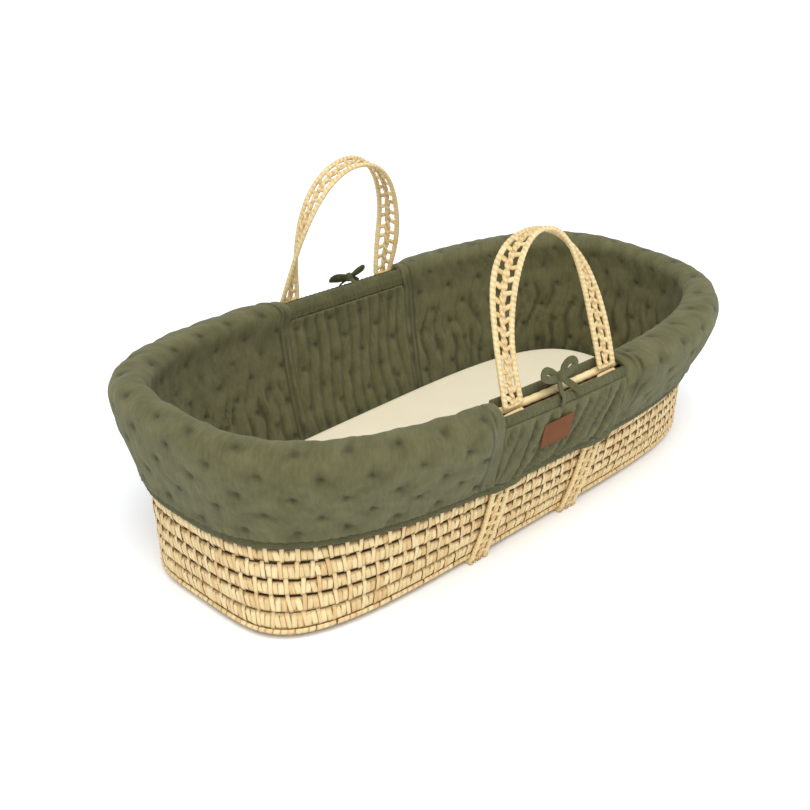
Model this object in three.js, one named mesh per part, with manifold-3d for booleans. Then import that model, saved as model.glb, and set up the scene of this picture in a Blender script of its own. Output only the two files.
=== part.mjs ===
// Moses basket: a woven palm-leaf carrying basket with a quilted liner, two carrying handles and a mattress.
// Millimetres. +X runs along the basket from the head end (-X) to the foot end (+X), +Y to its back side,
// +Z up. The origin is on the floor, under the middle of the basket.
import * as THREE from 'three';
import { mergeVertices } from 'three/addons/utils/BufferGeometryUtils.js';
import Module from 'manifold-3d';

const wasm = await Module();
wasm.setup();

// The clearance left between neighbouring pieces.
const GAP = 0.4;
// Edges shorter than this are merged when two solids are joined.
const JOIN_TOLERANCE = 0.05;

// Wall: an oval that leans outwards from the base (foot) to the rim (top).
const FOOT_HALF_LENGTH = 387;
const FOOT_HALF_WIDTH = 155;
const FOOT_SQUARENESS = 4.5;
const FOOT_HEIGHT = 15;
const TOP_HALF_LENGTH = 408;
const TOP_HALF_WIDTH = 197;
const TOP_SQUARENESS = 3;
const FLARE_EXPONENT = 1.8;
const CORNER_EXPONENT = 4;
const WALL_THICKNESS = 6;
const WALL_ROWS = 10;

// Rim: a palm-wrapped rod whose height rises at both ends and towards the head.
const ROD_RADIUS = 5;
const ROD_SIDES = 8;
const ROD_INSET = 3.5;
const RIM_HEIGHT = 216;
const RIM_END_RISE = 13;
const RIM_HEAD_SLOPE = 0.048;

// Base mat and its border row.
const STRAP_THICKNESS = 6;
const MAT_BOTTOM = STRAP_THICKNESS + GAP;
const MAT_THICKNESS = 6;
const BORDER_TUCK = 7;

// Carrying straps: they cross under the base and climb both sides. They lie slightly askew.
const STRAP_WIDTH = 32;
const STRAP_SPREAD = 84;
const STRAP_SKEW = 9;
const STRAP_TOP = 217.5;
const STRAP_STAND = 0.7;
const STRAP_NEAR = 22;
// Its line as steps from the foot's edge and up from the floor, then as shares of the wall's height.
const STRAP_TURN = [[-22, 3], [-7, 3], [0.5, 7]];
const STRAP_SHARES = [0.03, 0.12, 0.22, 0.34, 0.48, 0.62, 0.76, 0.88];
const STRAP_UPRIGHT = 12;

// Handles: each an arch of the same strap, hinged where its legs leave the rim.
const HINGE_OUT = 202;
const HINGE_HEIGHT = 222;
const ARCH_STEPS = 44;
const FRONT_ARCH = { rise: 184, lean: 18, turn: 1.94 };
const BACK_ARCH = { rise: 180, lean: 8.5, turn: 0.56 };

// Liner: a quilted wall lining that rolls over the rim and hangs outside as a skirt, and four flaps
// beside the handles, whose edges are bound.
const LINER_THIN = 5;
const LINER_THICK = 8;
const LINER_CLEARANCE = 0.9;
const LINER_BASE_THICKNESS = 3.4;
const NOTCH_HALF = 106;
const BINDING_HEIGHT = 10;
const HEM_HEIGHT = 122;
const HEM_HEAD_SLOPE = 0.0335;
const HEM_BAND = 12;
const HEM_THICKNESS = 3;
const HEM_HALF_LENGTH = 408.4;
const HEM_HALF_WIDTH = 192.8;
const ROLL_END_RATIO = 0.75;
const LINER_SHARES = [0.012, 0.12, 0.3, 0.55, 0.8, 0.92];
// Its two faces over the rim, as steps out from the rod's centre and up from it.
const ROLL_OUTER = [
  [-13.5, -1], [-11.5, 7], [-4, 13], [9, 13.2], [21, 9.8], [29.5, 3.2], [33.5, -6], [33.5, -18],
];
const ROLL_INNER = [
  [-5.6, -1], [-4.6, 4.2], [-0.5, 6.6], [7, 6], [15, 3], [21.5, -1.5], [25, -9], [25.3, -18],
];
// The skirt below it, as a share of the way down to the hem, and how much of the roll's bulge is left.
const SKIRT = [[0.3, 0.8], [0.6, 0.49], [0.82, 0.24], [1, 0.1]];
// The outer flap's face, in the roll's steps. The inner flap's top edge is a step out from the rod.
const FLAP_FACE = [[20, -BINDING_HEIGHT - GAP], [21.5, -26], [17, -48], [12.6, -70]];
const FLAP_THICKNESS = 6.5;
const INNER_FLAP_TOP = [-5.6, -12.6];
// The bindings' two faces, as steps out from the rod.
const INNER_BINDING = [-5.5, -13];
const OUTER_BINDING = [20.6, 13.3];

// Leather label on the front flap: its place along the rim, how far out it is and how far down.
const LABEL_WIDTH = 52;
const LABEL_HEIGHT = 30;
const LABEL_THICKNESS = 1.6;
const LABEL_CORNER = 2;
const LABEL_PLACE = -31;
const LABEL_OUT = 21.7;
const LABEL_DROP = 38;
const LABEL_TILT = 0.08;

// Ties: a bow over the rod on each side. Its knot sits out from the rod and up from it.
const TIE_OUT = 12;
const TIE_DEPTH = 7;
const FRONT_TIE = { place: -18, up: 24, tail: 23 };
const BACK_TIE = { place: 33, up: 13, tail: 12 };

// Mattress: a foam core in a fitted sheet that is open underneath.
const MATTRESS_HALF_LENGTH = 368;
const MATTRESS_HALF_WIDTH = 146.5;
const MATTRESS_SQUARENESS = 3.6;
const MATTRESS_THICKNESS = 40;
const MATTRESS_EDGE = 11;
const SHEET_THICKNESS = 1.5;
const SHEET_TUCK = 34;

// Stations round the oval.
const STATIONS = 44;
const OUTLINE_STEPS = 240;

const palm = { color: 0xdcc48a, roughness: 0.75, metalness: 0 };
const palmDark = { color: 0xcfb071, roughness: 0.8, metalness: 0 };
const muslin = { color: 0x5d5c40, roughness: 0.95, metalness: 0 };
const muslinDark = { color: 0x4b4a32, roughness: 0.95, metalness: 0 };
const leather = { color: 0x96603f, roughness: 0.6, metalness: 0 };
const cotton = { color: 0xe4dcc6, roughness: 0.95, metalness: 0 };
const foam = { color: 0xf2ead2, roughness: 1, metalness: 0 };

const basket = new THREE.Group();

function addPiece(name, geometry, look) {
  const mesh = new THREE.Mesh(geometry, new THREE.MeshStandardMaterial(look));
  mesh.name = name;
  basket.add(mesh);
  return mesh;
}

// ---- shared shapes -------------------------------------------------------------------------------

const outlines = new Map();

// A superellipse outline, walked by the fraction of its length: 0 is +X, 0.25 is +Y, and so on.
function outline(halfLength, halfWidth, squareness) {
  const key = [halfLength, halfWidth, squareness].map((value) => value.toFixed(3)).join(' ');
  if (outlines.has(key)) {
    return outlines.get(key);
  }
  const points = [];
  for (let step = 0; step < 4 * OUTLINE_STEPS; step += 1) {
    const angle = (step / OUTLINE_STEPS) * (Math.PI / 2);
    const c = Math.cos(angle);
    const s = Math.sin(angle);
    const x = halfLength * Math.sign(c) * Math.abs(c) ** (2 / squareness);
    const y = halfWidth * Math.sign(s) * Math.abs(s) ** (2 / squareness);
    points.push(new THREE.Vector2(x, y));
  }
  const lengths = [0];
  for (let step = 0; step < points.length; step += 1) {
    lengths.push(lengths[step] + points[step].distanceTo(points[(step + 1) % points.length]));
  }
  function at(fraction) {
    const turn = fraction - Math.floor(fraction);
    const target = turn * lengths[points.length];
    let step = 0;
    while (lengths[step + 1] < target) {
      step += 1;
    }
    const share = (target - lengths[step]) / (lengths[step + 1] - lengths[step]);
    return points[step].clone().lerp(points[(step + 1) % points.length], share);
  }
  outlines.set(key, at);
  return at;
}

function rimHeight(x) {
  return RIM_HEIGHT + RIM_END_RISE * (x / TOP_HALF_LENGTH) ** 2 - RIM_HEAD_SLOPE * x;
}

function hemHeight(x) {
  return HEM_HEIGHT - HEM_HEAD_SLOPE * x;
}

// The wall's outer oval at a share of its height, 0 at the foot and 1 under the rim rod.
function wallOval(share) {
  const flare = 1 - (1 - share) ** FLARE_EXPONENT;
  return {
    halfLength: THREE.MathUtils.lerp(FOOT_HALF_LENGTH, TOP_HALF_LENGTH, flare),
    halfWidth: THREE.MathUtils.lerp(FOOT_HALF_WIDTH, TOP_HALF_WIDTH, flare),
    squareness: TOP_SQUARENESS + (FOOT_SQUARENESS - TOP_SQUARENESS) * (1 - share) ** CORNER_EXPONENT,
  };
}

function wallHeight(share, x) {
  return FOOT_HEIGHT + share * (rimHeight(x) - ROD_RADIUS - 1 - FOOT_HEIGHT);
}

// A point on the wall, moved out of its outer face by an offset.
function wallPoint(share, offset, fraction) {
  const oval = wallOval(share);
  const at = outline(oval.halfLength + offset, oval.halfWidth + offset, oval.squareness);
  const spot = at(fraction);
  return new THREE.Vector3(spot.x, spot.y, wallHeight(share, spot.x));
}

// A point at a height on an oval of its own.
function ovalPoint(halfLength, halfWidth, squareness, fraction, heightAt) {
  const spot = outline(halfLength, halfWidth, squareness)(fraction);
  return new THREE.Vector3(spot.x, spot.y, heightAt(spot.x));
}

// Where a side's point at x lies, as a fraction of the outline's length. Side is -1 in front, 1 behind.
function fractionAt(x, side) {
  const at = outline(HEM_HALF_LENGTH, HEM_HALF_WIDTH, TOP_SQUARENESS);
  let low = side > 0 ? 0 : 0.5;
  let high = low + 0.5;
  for (let step = 0; step < 40; step += 1) {
    const middle = (low + high) / 2;
    const tooFarHead = side > 0 ? at(middle).x < x : at(middle).x > x;
    if (tooFarHead) {
      high = middle;
    } else {
      low = middle;
    }
  }
  return low;
}

// The two straps' places along X on one side.
function strapPlaces(side) {
  return [-STRAP_SPREAD, STRAP_SPREAD].map((place) => place + side * STRAP_SKEW);
}

// The stations of a whole ring: even ones, and extra ones beside each strap.
function ringStations() {
  const stations = [];
  for (let index = 0; index < STATIONS; index += 1) {
    stations.push(index / STATIONS);
  }
  const extras = [];
  for (const side of [-1, 1]) {
    for (const place of strapPlaces(side)) {
      for (const offset of [-26, -18, 18, 26]) {
        extras.push(fractionAt(place + offset, side));
      }
    }
    extras.push(fractionAt(side * STRAP_SKEW - NOTCH_HALF, side));
    extras.push(fractionAt(side * STRAP_SKEW + NOTCH_HALF, side));
  }
  const clear = stations.filter((even) => extras.every((extra) => Math.abs(extra - even) > 0.004));
  return clear.concat(extras).sort((a, b) => a - b);
}

const stations = ringStations();

// The ring's stations from one fraction to another, which may run past a whole turn.
function stationsBetween(from, to) {
  const within = [...stations, ...stations.map((station) => station + 1)];
  return [from, ...within.filter((station) => station > from + 1e-6 && station < to - 1e-6), to];
}

// How far the hem and lower skirt stand off the wall to pass over a strap: 1 over it, 0 away from it.
function overStrap(fraction) {
  const at = outline(HEM_HALF_LENGTH, HEM_HALF_WIDTH, TOP_SQUARENESS)(fraction);
  const side = Math.sign(at.y);
  const near = Math.min(...strapPlaces(side).map((place) => Math.abs(at.x - place)));
  return near < STRAP_NEAR ? 1 : 0;
}

// A solid through a list of cross-sections, closed on itself or capped at both ends.
function loft(sections, closed) {
  const corners = sections[0].length;
  const rings = sections.length;
  const positions = sections.flat().flatMap((point) => [point.x, point.y, point.z]);
  const faces = [];
  const spans = closed ? rings : rings - 1;
  for (let ring = 0; ring < spans; ring += 1) {
    const next = (ring + 1) % rings;
    for (let corner = 0; corner < corners; corner += 1) {
      const after = (corner + 1) % corners;
      const a = ring * corners + corner;
      const b = ring * corners + after;
      const c = next * corners + after;
      const d = next * corners + corner;
      faces.push([a, b, c], [a, c, d]);
    }
  }
  if (!closed) {
    // A thin section's two long faces run side by side, so each cap is a strip between them.
    const last = (rings - 1) * corners;
    for (let low = 0; low < corners / 2 - 1; low += 1) {
      const high = corners - 1 - low;
      faces.push([low, high, low + 1], [low + 1, high, high - 1]);
      faces.push([last + low, last + low + 1, last + high], [last + low + 1, last + high - 1, last + high]);
    }
  }
  const geometry = new THREE.BufferGeometry();
  geometry.setAttribute('position', new THREE.Float32BufferAttribute(positions, 3));
  geometry.setIndex((volumeOf(positions, faces) < 0 ? faces.map((face) => face.reverse()) : faces).flat());
  geometry.computeVertexNormals();
  return geometry;
}

function volumeOf(positions, faces) {
  const point = (index) => new THREE.Vector3().fromArray(positions, 3 * index);
  let volume = 0;
  for (const [a, b, c] of faces) {
    volume += point(a).dot(point(b).cross(point(c))) / 6;
  }
  return volume;
}

function toSolid(geometry) {
  const bare = geometry.clone();
  bare.deleteAttribute('normal');
  bare.deleteAttribute('uv');
  const merged = mergeVertices(bare, 1e-4);
  return new wasm.Manifold(new wasm.Mesh({
    numProp: 3,
    tolerance: JOIN_TOLERANCE,
    vertProperties: new Float32Array(merged.attributes.position.array),
    triVerts: new Uint32Array(merged.index.array),
  }));
}

function toGeometry(solid) {
  const mesh = solid.getMesh();
  const geometry = new THREE.BufferGeometry();
  geometry.setAttribute('position', new THREE.BufferAttribute(mesh.vertProperties, 3));
  geometry.setIndex(new THREE.BufferAttribute(mesh.triVerts, 1));
  geometry.computeVertexNormals();
  return geometry;
}

function ovalPlate(halfLength, halfWidth, squareness, bottom, thickness) {
  const shape = new THREE.Shape(stations.map(outline(halfLength, halfWidth, squareness)));
  const geometry = new THREE.ExtrudeGeometry(shape, { depth: thickness, bevelEnabled: false });
  geometry.translate(0, 0, bottom);
  return geometry;
}

// ---- woven basket --------------------------------------------------------------------------------

function makeBaseMat() {
  const inset = BORDER_TUCK + WALL_THICKNESS + GAP;
  const halfLength = FOOT_HALF_LENGTH - inset;
  const halfWidth = FOOT_HALF_WIDTH - inset;
  addPiece('base_mat', ovalPlate(halfLength, halfWidth, FOOT_SQUARENESS, MAT_BOTTOM, MAT_THICKNESS), palm);
}

// The border row turns in under the wall to meet the base mat.
function makeBorderRow() {
  const top = FOOT_HEIGHT - GAP;
  const sections = stations.map((fraction) => {
    const corner = (inset, height) => ovalPoint(
      FOOT_HALF_LENGTH - inset, FOOT_HALF_WIDTH - inset, FOOT_SQUARENESS, fraction, () => height,
    );
    return [
      corner(BORDER_TUCK, MAT_BOTTOM),
      corner(0, top),
      corner(WALL_THICKNESS, top),
      corner(BORDER_TUCK + WALL_THICKNESS - GAP / 2, MAT_BOTTOM),
    ];
  });
  addPiece('wall_border_row', loft(sections, true), palmDark);
}

function makeWallRow(row) {
  const seam = GAP / 2 / (RIM_HEIGHT - FOOT_HEIGHT);
  const low = row / WALL_ROWS + seam;
  const high = (row + 1) / WALL_ROWS - seam;
  const sections = stations.map((fraction) => [
    wallPoint(low, 0, fraction),
    wallPoint(high, 0, fraction),
    wallPoint(high, -WALL_THICKNESS, fraction),
    wallPoint(low, -WALL_THICKNESS, fraction),
  ]);
  addPiece(`wall_row_${String(row + 1).padStart(2, '0')}`, loft(sections, true), palm);
}

function makeRimRod() {
  const sections = stations.map((fraction) => {
    const section = [];
    for (let corner = 0; corner < ROD_SIDES; corner += 1) {
      const angle = ((corner + 0.5) / ROD_SIDES) * Math.PI * 2;
      const out = ROD_RADIUS * Math.cos(angle) - ROD_INSET;
      const up = ROD_RADIUS * Math.sin(angle);
      section.push(ovalPoint(
        TOP_HALF_LENGTH + out, TOP_HALF_WIDTH + out, TOP_SQUARENESS, fraction, (x) => rimHeight(x) + up,
      ));
    }
    return section;
  });
  addPiece('rim_rod', loft(sections, true), palm);
}

// A carrying strap's centre line up one side, from the base to the rim, as outward and upward distances.
function strapSide(place, side) {
  const stand = STRAP_THICKNESS / 2 + STRAP_STAND;
  const line = STRAP_TURN.map(([out, up]) => new THREE.Vector2(FOOT_HALF_WIDTH + out, up));
  const fraction = fractionAt(place, side);
  for (const share of STRAP_SHARES) {
    const spot = wallPoint(share, stand, fraction);
    line.push(new THREE.Vector2(Math.abs(spot.y), spot.z));
  }
  const lift = rimHeight(place) - RIM_HEIGHT;
  line.push(new THREE.Vector2(HINGE_OUT, RIM_HEIGHT - STRAP_UPRIGHT + lift));
  line.push(new THREE.Vector2(HINGE_OUT, STRAP_TOP + lift));
  return line;
}

// A flat strap swept along a line in a plane across the basket.
function makeStrap(name, index) {
  const front = strapSide(strapPlaces(-1)[index], -1).map((spot) => [-spot.x, spot.y]).reverse();
  const back = strapSide(strapPlaces(1)[index], 1).map((spot) => [spot.x, spot.y]);
  const line = front.concat(back);
  const frontPlace = strapPlaces(-1)[index];
  const backPlace = strapPlaces(1)[index];
  const middle = (frontPlace + backPlace) / 2;
  const slant = (backPlace - frontPlace) / (2 * FOOT_HALF_WIDTH);
  const sections = line.map(([y, z], step) => {
    const before = line[Math.max(step - 1, 0)];
    const after = line[Math.min(step + 1, line.length - 1)];
    const along = new THREE.Vector2(after[0] - before[0], after[1] - before[1]).normalize();
    const across = new THREE.Vector2(-along.y, along.x).multiplyScalar(STRAP_THICKNESS / 2);
    const x = middle + slant * THREE.MathUtils.clamp(y, -FOOT_HALF_WIDTH, FOOT_HALF_WIDTH);
    const corner = (wide, thick) => new THREE.Vector3(
      x + wide * STRAP_WIDTH / 2, y + thick * across.x, z + thick * across.y,
    );
    return [corner(-1, -1), corner(1, -1), corner(1, 1), corner(-1, 1)];
  });
  addPiece(name, loft(sections, false), palmDark);
}

// ---- handles -------------------------------------------------------------------------------------

// An arch of strap. Its face looks outwards at the legs and turns to look along the arch's radius on top.
function makeHandle(name, side, arch) {
  const path = [];
  for (let step = 0; step <= 400; step += 1) {
    const angle = (step / 400) * Math.PI;
    const along = -STRAP_SPREAD * Math.cos(angle);
    const up = arch.rise * Math.sin(angle) ** (2 / 3);
    path.push(new THREE.Vector3(along, up, 0));
  }
  const curve = new THREE.CatmullRomCurve3(path);
  const tilt = Math.atan(RIM_HEAD_SLOPE);
  const frame = new THREE.Matrix4().makeBasis(
    new THREE.Vector3(1, 0, 0), new THREE.Vector3(0, 0, 1), new THREE.Vector3(0, -1, 0),
  );
  const lean = new THREE.Matrix4().makeRotationX(side * THREE.MathUtils.degToRad(arch.lean));
  const slope = new THREE.Matrix4().makeRotationY(tilt);
  const centre = side * STRAP_SKEW;
  const place = new THREE.Matrix4().makeTranslation(
    centre, side * HINGE_OUT, HINGE_HEIGHT - RIM_HEAD_SLOPE * centre,
  );
  const whole = place.multiply(slope).multiply(lean).multiply(frame);
  const sections = [];
  for (let step = 0; step <= ARCH_STEPS; step += 1) {
    const share = step / ARCH_STEPS;
    const spot = curve.getPointAt(share);
    const along = curve.getTangentAt(share);
    if (step === 0 || step === ARCH_STEPS) {
      along.set(0, step === 0 ? 1 : -1, 0);
    }
    const fromLeg = 1 - Math.abs(2 * share - 1);
    const turned = THREE.MathUtils.smoothstep(fromLeg ** arch.turn, 0, 1) * Math.PI / 2;
    const radial = new THREE.Vector3(-along.y, along.x, 0);
    const outward = new THREE.Vector3(0, 0, -side);
    const face = outward.multiplyScalar(Math.cos(turned)).addScaledVector(radial, Math.sin(turned));
    const width = new THREE.Vector3().crossVectors(face, along).multiplyScalar(STRAP_WIDTH / 2);
    const depth = face.multiplyScalar(STRAP_THICKNESS / 2);
    const corner = (wide, thick) => spot.clone().addScaledVector(width, wide).addScaledVector(depth, thick)
      .applyMatrix4(whole);
    sections.push([corner(-1, -1), corner(1, -1), corner(1, 1), corner(-1, 1)]);
  }
  addPiece(name, loft(sections, false), palm);
}

// ---- liner ---------------------------------------------------------------------------------------

function linerThickness(share) {
  return THREE.MathUtils.lerp(LINER_THIN, LINER_THICK, THREE.MathUtils.smoothstep(share, 0, 0.5));
}

// The lining of the wall: its face against the wall, then its face towards the mattress.
function liningFaces(fraction, shares) {
  const against = shares.map((share) => wallPoint(share, -WALL_THICKNESS - LINER_CLEARANCE, fraction));
  const inside = shares.map((share) => (
    wallPoint(share, -WALL_THICKNESS - LINER_CLEARANCE - linerThickness(share), fraction)
  ));
  return { against, inside };
}

// A point of the roll: steps out from the rod, less at the ends than at the sides.
function rollPoint([out, up], fraction) {
  const endOut = out > 0 ? out * ROLL_END_RATIO : out;
  return ovalPoint(
    TOP_HALF_LENGTH - ROD_INSET + endOut, TOP_HALF_WIDTH - ROD_INSET + out, TOP_SQUARENESS, fraction,
    (x) => rimHeight(x) + up,
  );
}

function hemPoint(offset, fraction, up) {
  return ovalPoint(
    HEM_HALF_LENGTH + offset, HEM_HALF_WIDTH + offset, TOP_SQUARENESS, fraction, (x) => hemHeight(x) + up,
  );
}

function skirtPoint(from, offset, fraction, [share, bulge]) {
  const hem = hemPoint(offset, fraction, HEM_BAND / 2 + GAP);
  const spot = hem.clone().lerp(from, bulge);
  spot.z = THREE.MathUtils.lerp(from.z, hem.z, share);
  return spot;
}

// The lining, the roll over the rim rod and the skirt, from one notch round the end to the other.
function makeEndPanel(name, side) {
  const front = fractionAt(side * NOTCH_HALF - STRAP_SKEW, -1);
  const back = fractionAt(side * NOTCH_HALF + STRAP_SKEW, 1);
  const from = side < 0 ? back : front;
  const to = side < 0 ? front : back + 1;
  const panel = stationsBetween(from, to).map((fraction) => {
    const { against, inside } = liningFaces(fraction, LINER_SHARES);
    const outer = ROLL_OUTER.map((step) => rollPoint(step, fraction));
    const inner = ROLL_INNER.map((step) => rollPoint(step, fraction));
    const skirtOuter = SKIRT.map((step) => skirtPoint(outer.at(-1), 0, fraction, step));
    const skirtInner = SKIRT.map((step) => skirtPoint(inner.at(-1), -HEM_THICKNESS, fraction, step));
    const outside = [...inside, ...outer, ...skirtOuter];
    const under = [...against, ...inner, ...skirtInner];
    return outside.concat(under.reverse());
  });
  addPiece(name, loft(panel, false), muslin);
}

// The flap inside the rim, between the handle's legs: its bound edge stops just under the rod's top.
function innerFlapSection(fraction) {
  const { against, inside } = liningFaces(fraction, LINER_SHARES);
  const top = -BINDING_HEIGHT - GAP;
  against.push(rollPoint([INNER_FLAP_TOP[0], top], fraction));
  inside.push(rollPoint([INNER_FLAP_TOP[1], top], fraction));
  return inside.concat(against.reverse());
}

// The flap outside, which hangs over the two straps down to the hem.
function outerFlapSection(fraction) {
  const face = FLAP_FACE.map((step) => rollPoint(step, fraction));
  const back = FLAP_FACE.map(([out, up]) => rollPoint([out - FLAP_THICKNESS, up], fraction));
  const over = overStrap(fraction) * STRAP_THICKNESS;
  face.push(hemPoint(over, fraction, HEM_BAND / 2 + GAP));
  back.push(hemPoint(over - HEM_THICKNESS, fraction, HEM_BAND / 2 + GAP));
  return face.concat(back.reverse());
}

function bindingSection([outFace, outBack], fraction) {
  return [
    rollPoint([outFace, -BINDING_HEIGHT], fraction),
    rollPoint([outFace, 0], fraction),
    rollPoint([outBack, 0], fraction),
    rollPoint([outBack, -BINDING_HEIGHT], fraction),
  ];
}

function makeFlaps(word, side) {
  const reach = NOTCH_HALF - GAP;
  const ends = [-reach, reach].map((place) => fractionAt(side * STRAP_SKEW + place, side));
  const places = stationsBetween(Math.min(...ends), Math.max(...ends));
  addPiece(`liner_${word}_inner_flap`, loft(places.map(innerFlapSection), false), muslin);
  addPiece(`liner_${word}_outer_flap`, loft(places.map(outerFlapSection), false), muslin);
  const inner = places.map((fraction) => bindingSection(INNER_BINDING, fraction));
  const outer = places.map((fraction) => bindingSection(OUTER_BINDING, fraction));
  addPiece(`${word}_inner_binding`, loft(inner, false), muslinDark);
  addPiece(`${word}_outer_binding`, loft(outer, false), muslinDark);
}

// The elastic hem band grips the wall and rides over the straps.
function makeHemBand() {
  const sections = stations.map((fraction) => {
    const over = overStrap(fraction) * STRAP_THICKNESS;
    return [
      hemPoint(over, fraction, -HEM_BAND / 2),
      hemPoint(over, fraction, HEM_BAND / 2),
      hemPoint(over - HEM_THICKNESS, fraction, HEM_BAND / 2),
      hemPoint(over - HEM_THICKNESS, fraction, -HEM_BAND / 2),
    ];
  });
  addPiece('hem_band', loft(sections, true), muslinDark);
}

function makeLinerBase() {
  const inset = WALL_THICKNESS + GAP + LINER_THIN + 1.5;
  const bottom = MAT_BOTTOM + MAT_THICKNESS + GAP;
  const plate = ovalPlate(
    FOOT_HALF_LENGTH - inset, FOOT_HALF_WIDTH - inset, FOOT_SQUARENESS, bottom, LINER_BASE_THICKNESS,
  );
  addPiece('liner_base', plate, muslin);
}

// ---- ties and label ------------------------------------------------------------------------------

// A shape from a list of points, with holes.
function flatShape(points, holes) {
  const shape = new THREE.Shape(points.map(([x, y]) => new THREE.Vector2(x, y)));
  shape.holes = holes.map((hole) => new THREE.Path(hole.map(([x, y]) => new THREE.Vector2(x, y))));
  return shape;
}

// A bow: a knot with two open loops above and two tails that end a given way below it.
function makeTie(name, side, { place, up, tail }) {
  const edge = [
    [-16, -tail], [-10, -tail], [-2, -6.5], [3, -6.5], [18, -0.8 * tail], [22, -0.62 * tail],
    [7.5, -2.5], [20, 0], [29, 5], [28, 13], [19, 14.5], [6, 6.5],
    [-6, 6.5], [-20, 14], [-30, 12.5], [-32, 5], [-22, -1], [-8, -2.5], [-8, -6],
  ];
  const leftLoop = [[-11, 2.5], [-22, 3], [-27, 7], [-25, 10], [-19, 9.5]];
  const rightLoop = [[10, 2.5], [19, 4], [25, 7.5], [24, 10.5], [18, 10]];
  const bow = new THREE.ExtrudeGeometry(flatShape(edge, [leftLoop, rightLoop]), {
    depth: TIE_DEPTH, bevelEnabled: false,
  });
  bow.translate(0, 0, -TIE_DEPTH / 2);
  bow.rotateX(Math.PI / 2);
  const tie = addPiece(name, bow, muslinDark);
  tie.position.set(place, side * (TOP_HALF_WIDTH - ROD_INSET + TIE_OUT), rimHeight(place) + up);
}

function makeLabel() {
  const shape = new THREE.Shape();
  const r = LABEL_CORNER;
  const w = LABEL_WIDTH / 2;
  const h = LABEL_HEIGHT / 2;
  shape.moveTo(-w + r, -h);
  shape.lineTo(w - r, -h);
  shape.absarc(w - r, -h + r, r, -Math.PI / 2, 0, false);
  shape.absarc(w - r, h - r, r, 0, Math.PI / 2, false);
  shape.absarc(-w + r, h - r, r, Math.PI / 2, Math.PI, false);
  shape.absarc(-w + r, -h + r, r, Math.PI, Math.PI * 1.5, false);
  const geometry = new THREE.ExtrudeGeometry(shape, {
    depth: LABEL_THICKNESS, bevelEnabled: false, curveSegments: 3,
  });
  const label = addPiece('leather_label', geometry, leather);
  label.rotation.set(Math.PI / 2 + LABEL_TILT, 0, -RIM_HEAD_SLOPE);
  const out = TOP_HALF_WIDTH - ROD_INSET + LABEL_OUT;
  label.position.set(LABEL_PLACE, -out, rimHeight(LABEL_PLACE) - LABEL_DROP);
}

// ---- mattress ------------------------------------------------------------------------------------

// A slab with rounded upper and lower edges. Its heights and insets go round the edge in steps.
function cushion(inset, bottom, top) {
  const edge = MATTRESS_EDGE - inset;
  const profile = [];
  for (const angle of [-90, -60, -30, 0]) {
    const turn = THREE.MathUtils.degToRad(angle);
    profile.push([edge * (1 - Math.cos(turn)) + inset, bottom + edge * (1 + Math.sin(turn))]);
  }
  for (const angle of [0, 30, 60, 90]) {
    const turn = THREE.MathUtils.degToRad(angle);
    profile.push([edge * (1 - Math.cos(turn)) + inset, top - edge * (1 - Math.sin(turn))]);
  }
  const rings = profile.map(([shrink, height]) => stations.map((fraction) => ovalPoint(
    MATTRESS_HALF_LENGTH - shrink, MATTRESS_HALF_WIDTH - shrink, MATTRESS_SQUARENESS, fraction, () => height,
  )));
  return loft(rings, false);
}

function makeMattress() {
  const bottom = MAT_BOTTOM + MAT_THICKNESS + LINER_BASE_THICKNESS + 2 * GAP;
  const top = bottom + MATTRESS_THICKNESS;
  const core = SHEET_THICKNESS + 0.3;
  addPiece('mattress_foam', cushion(core, bottom + core, top - core), foam);
  const skin = toSolid(cushion(0, bottom, top));
  const hollow = toSolid(cushion(SHEET_THICKNESS, bottom + SHEET_THICKNESS, top - SHEET_THICKNESS));
  const mouth = toSolid(ovalPlate(
    MATTRESS_HALF_LENGTH - SHEET_TUCK, MATTRESS_HALF_WIDTH - SHEET_TUCK, MATTRESS_SQUARENESS, bottom - 1, 6,
  ));
  addPiece('fitted_sheet', toGeometry(skin.subtract(hollow).subtract(mouth)), cotton);
}

makeBaseMat();
makeBorderRow();
for (let row = 0; row < WALL_ROWS; row += 1) {
  makeWallRow(row);
}
makeRimRod();
makeStrap('strap_head', 0);
makeStrap('strap_foot', 1);
makeHandle('front_handle', -1, FRONT_ARCH);
makeHandle('back_handle', 1, BACK_ARCH);
makeLinerBase();
makeEndPanel('liner_head_panel', -1);
makeEndPanel('liner_foot_panel', 1);
makeFlaps('front', -1);
makeFlaps('back', 1);
makeHemBand();
makeTie('front_tie', -1, FRONT_TIE);
makeTie('back_tie', 1, BACK_TIE);
makeLabel();
makeMattress();

export default basket;
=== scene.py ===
import bpy
import math
import numpy as np
from mathutils import Matrix, Vector


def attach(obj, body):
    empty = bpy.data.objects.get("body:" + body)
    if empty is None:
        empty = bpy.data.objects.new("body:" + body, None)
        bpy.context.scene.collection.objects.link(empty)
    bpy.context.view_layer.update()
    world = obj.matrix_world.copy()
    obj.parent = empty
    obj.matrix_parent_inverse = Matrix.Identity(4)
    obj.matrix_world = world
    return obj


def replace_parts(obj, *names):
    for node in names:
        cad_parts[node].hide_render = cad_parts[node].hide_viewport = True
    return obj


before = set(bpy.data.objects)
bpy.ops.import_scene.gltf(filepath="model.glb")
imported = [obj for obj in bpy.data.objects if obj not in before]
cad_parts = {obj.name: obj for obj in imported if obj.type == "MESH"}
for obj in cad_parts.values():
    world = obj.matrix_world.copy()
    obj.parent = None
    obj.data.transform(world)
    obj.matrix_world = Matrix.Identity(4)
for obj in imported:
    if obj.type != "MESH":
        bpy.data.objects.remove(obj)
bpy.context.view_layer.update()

# Studio: a long lens looks down on the basket's front side from beyond its head end. A pale
# matt floor runs out of sight, under an even white dome and one broad soft light from the left.
CAMERA_AZIMUTH = -44.806
CAMERA_ELEVATION = 27.6
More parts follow.
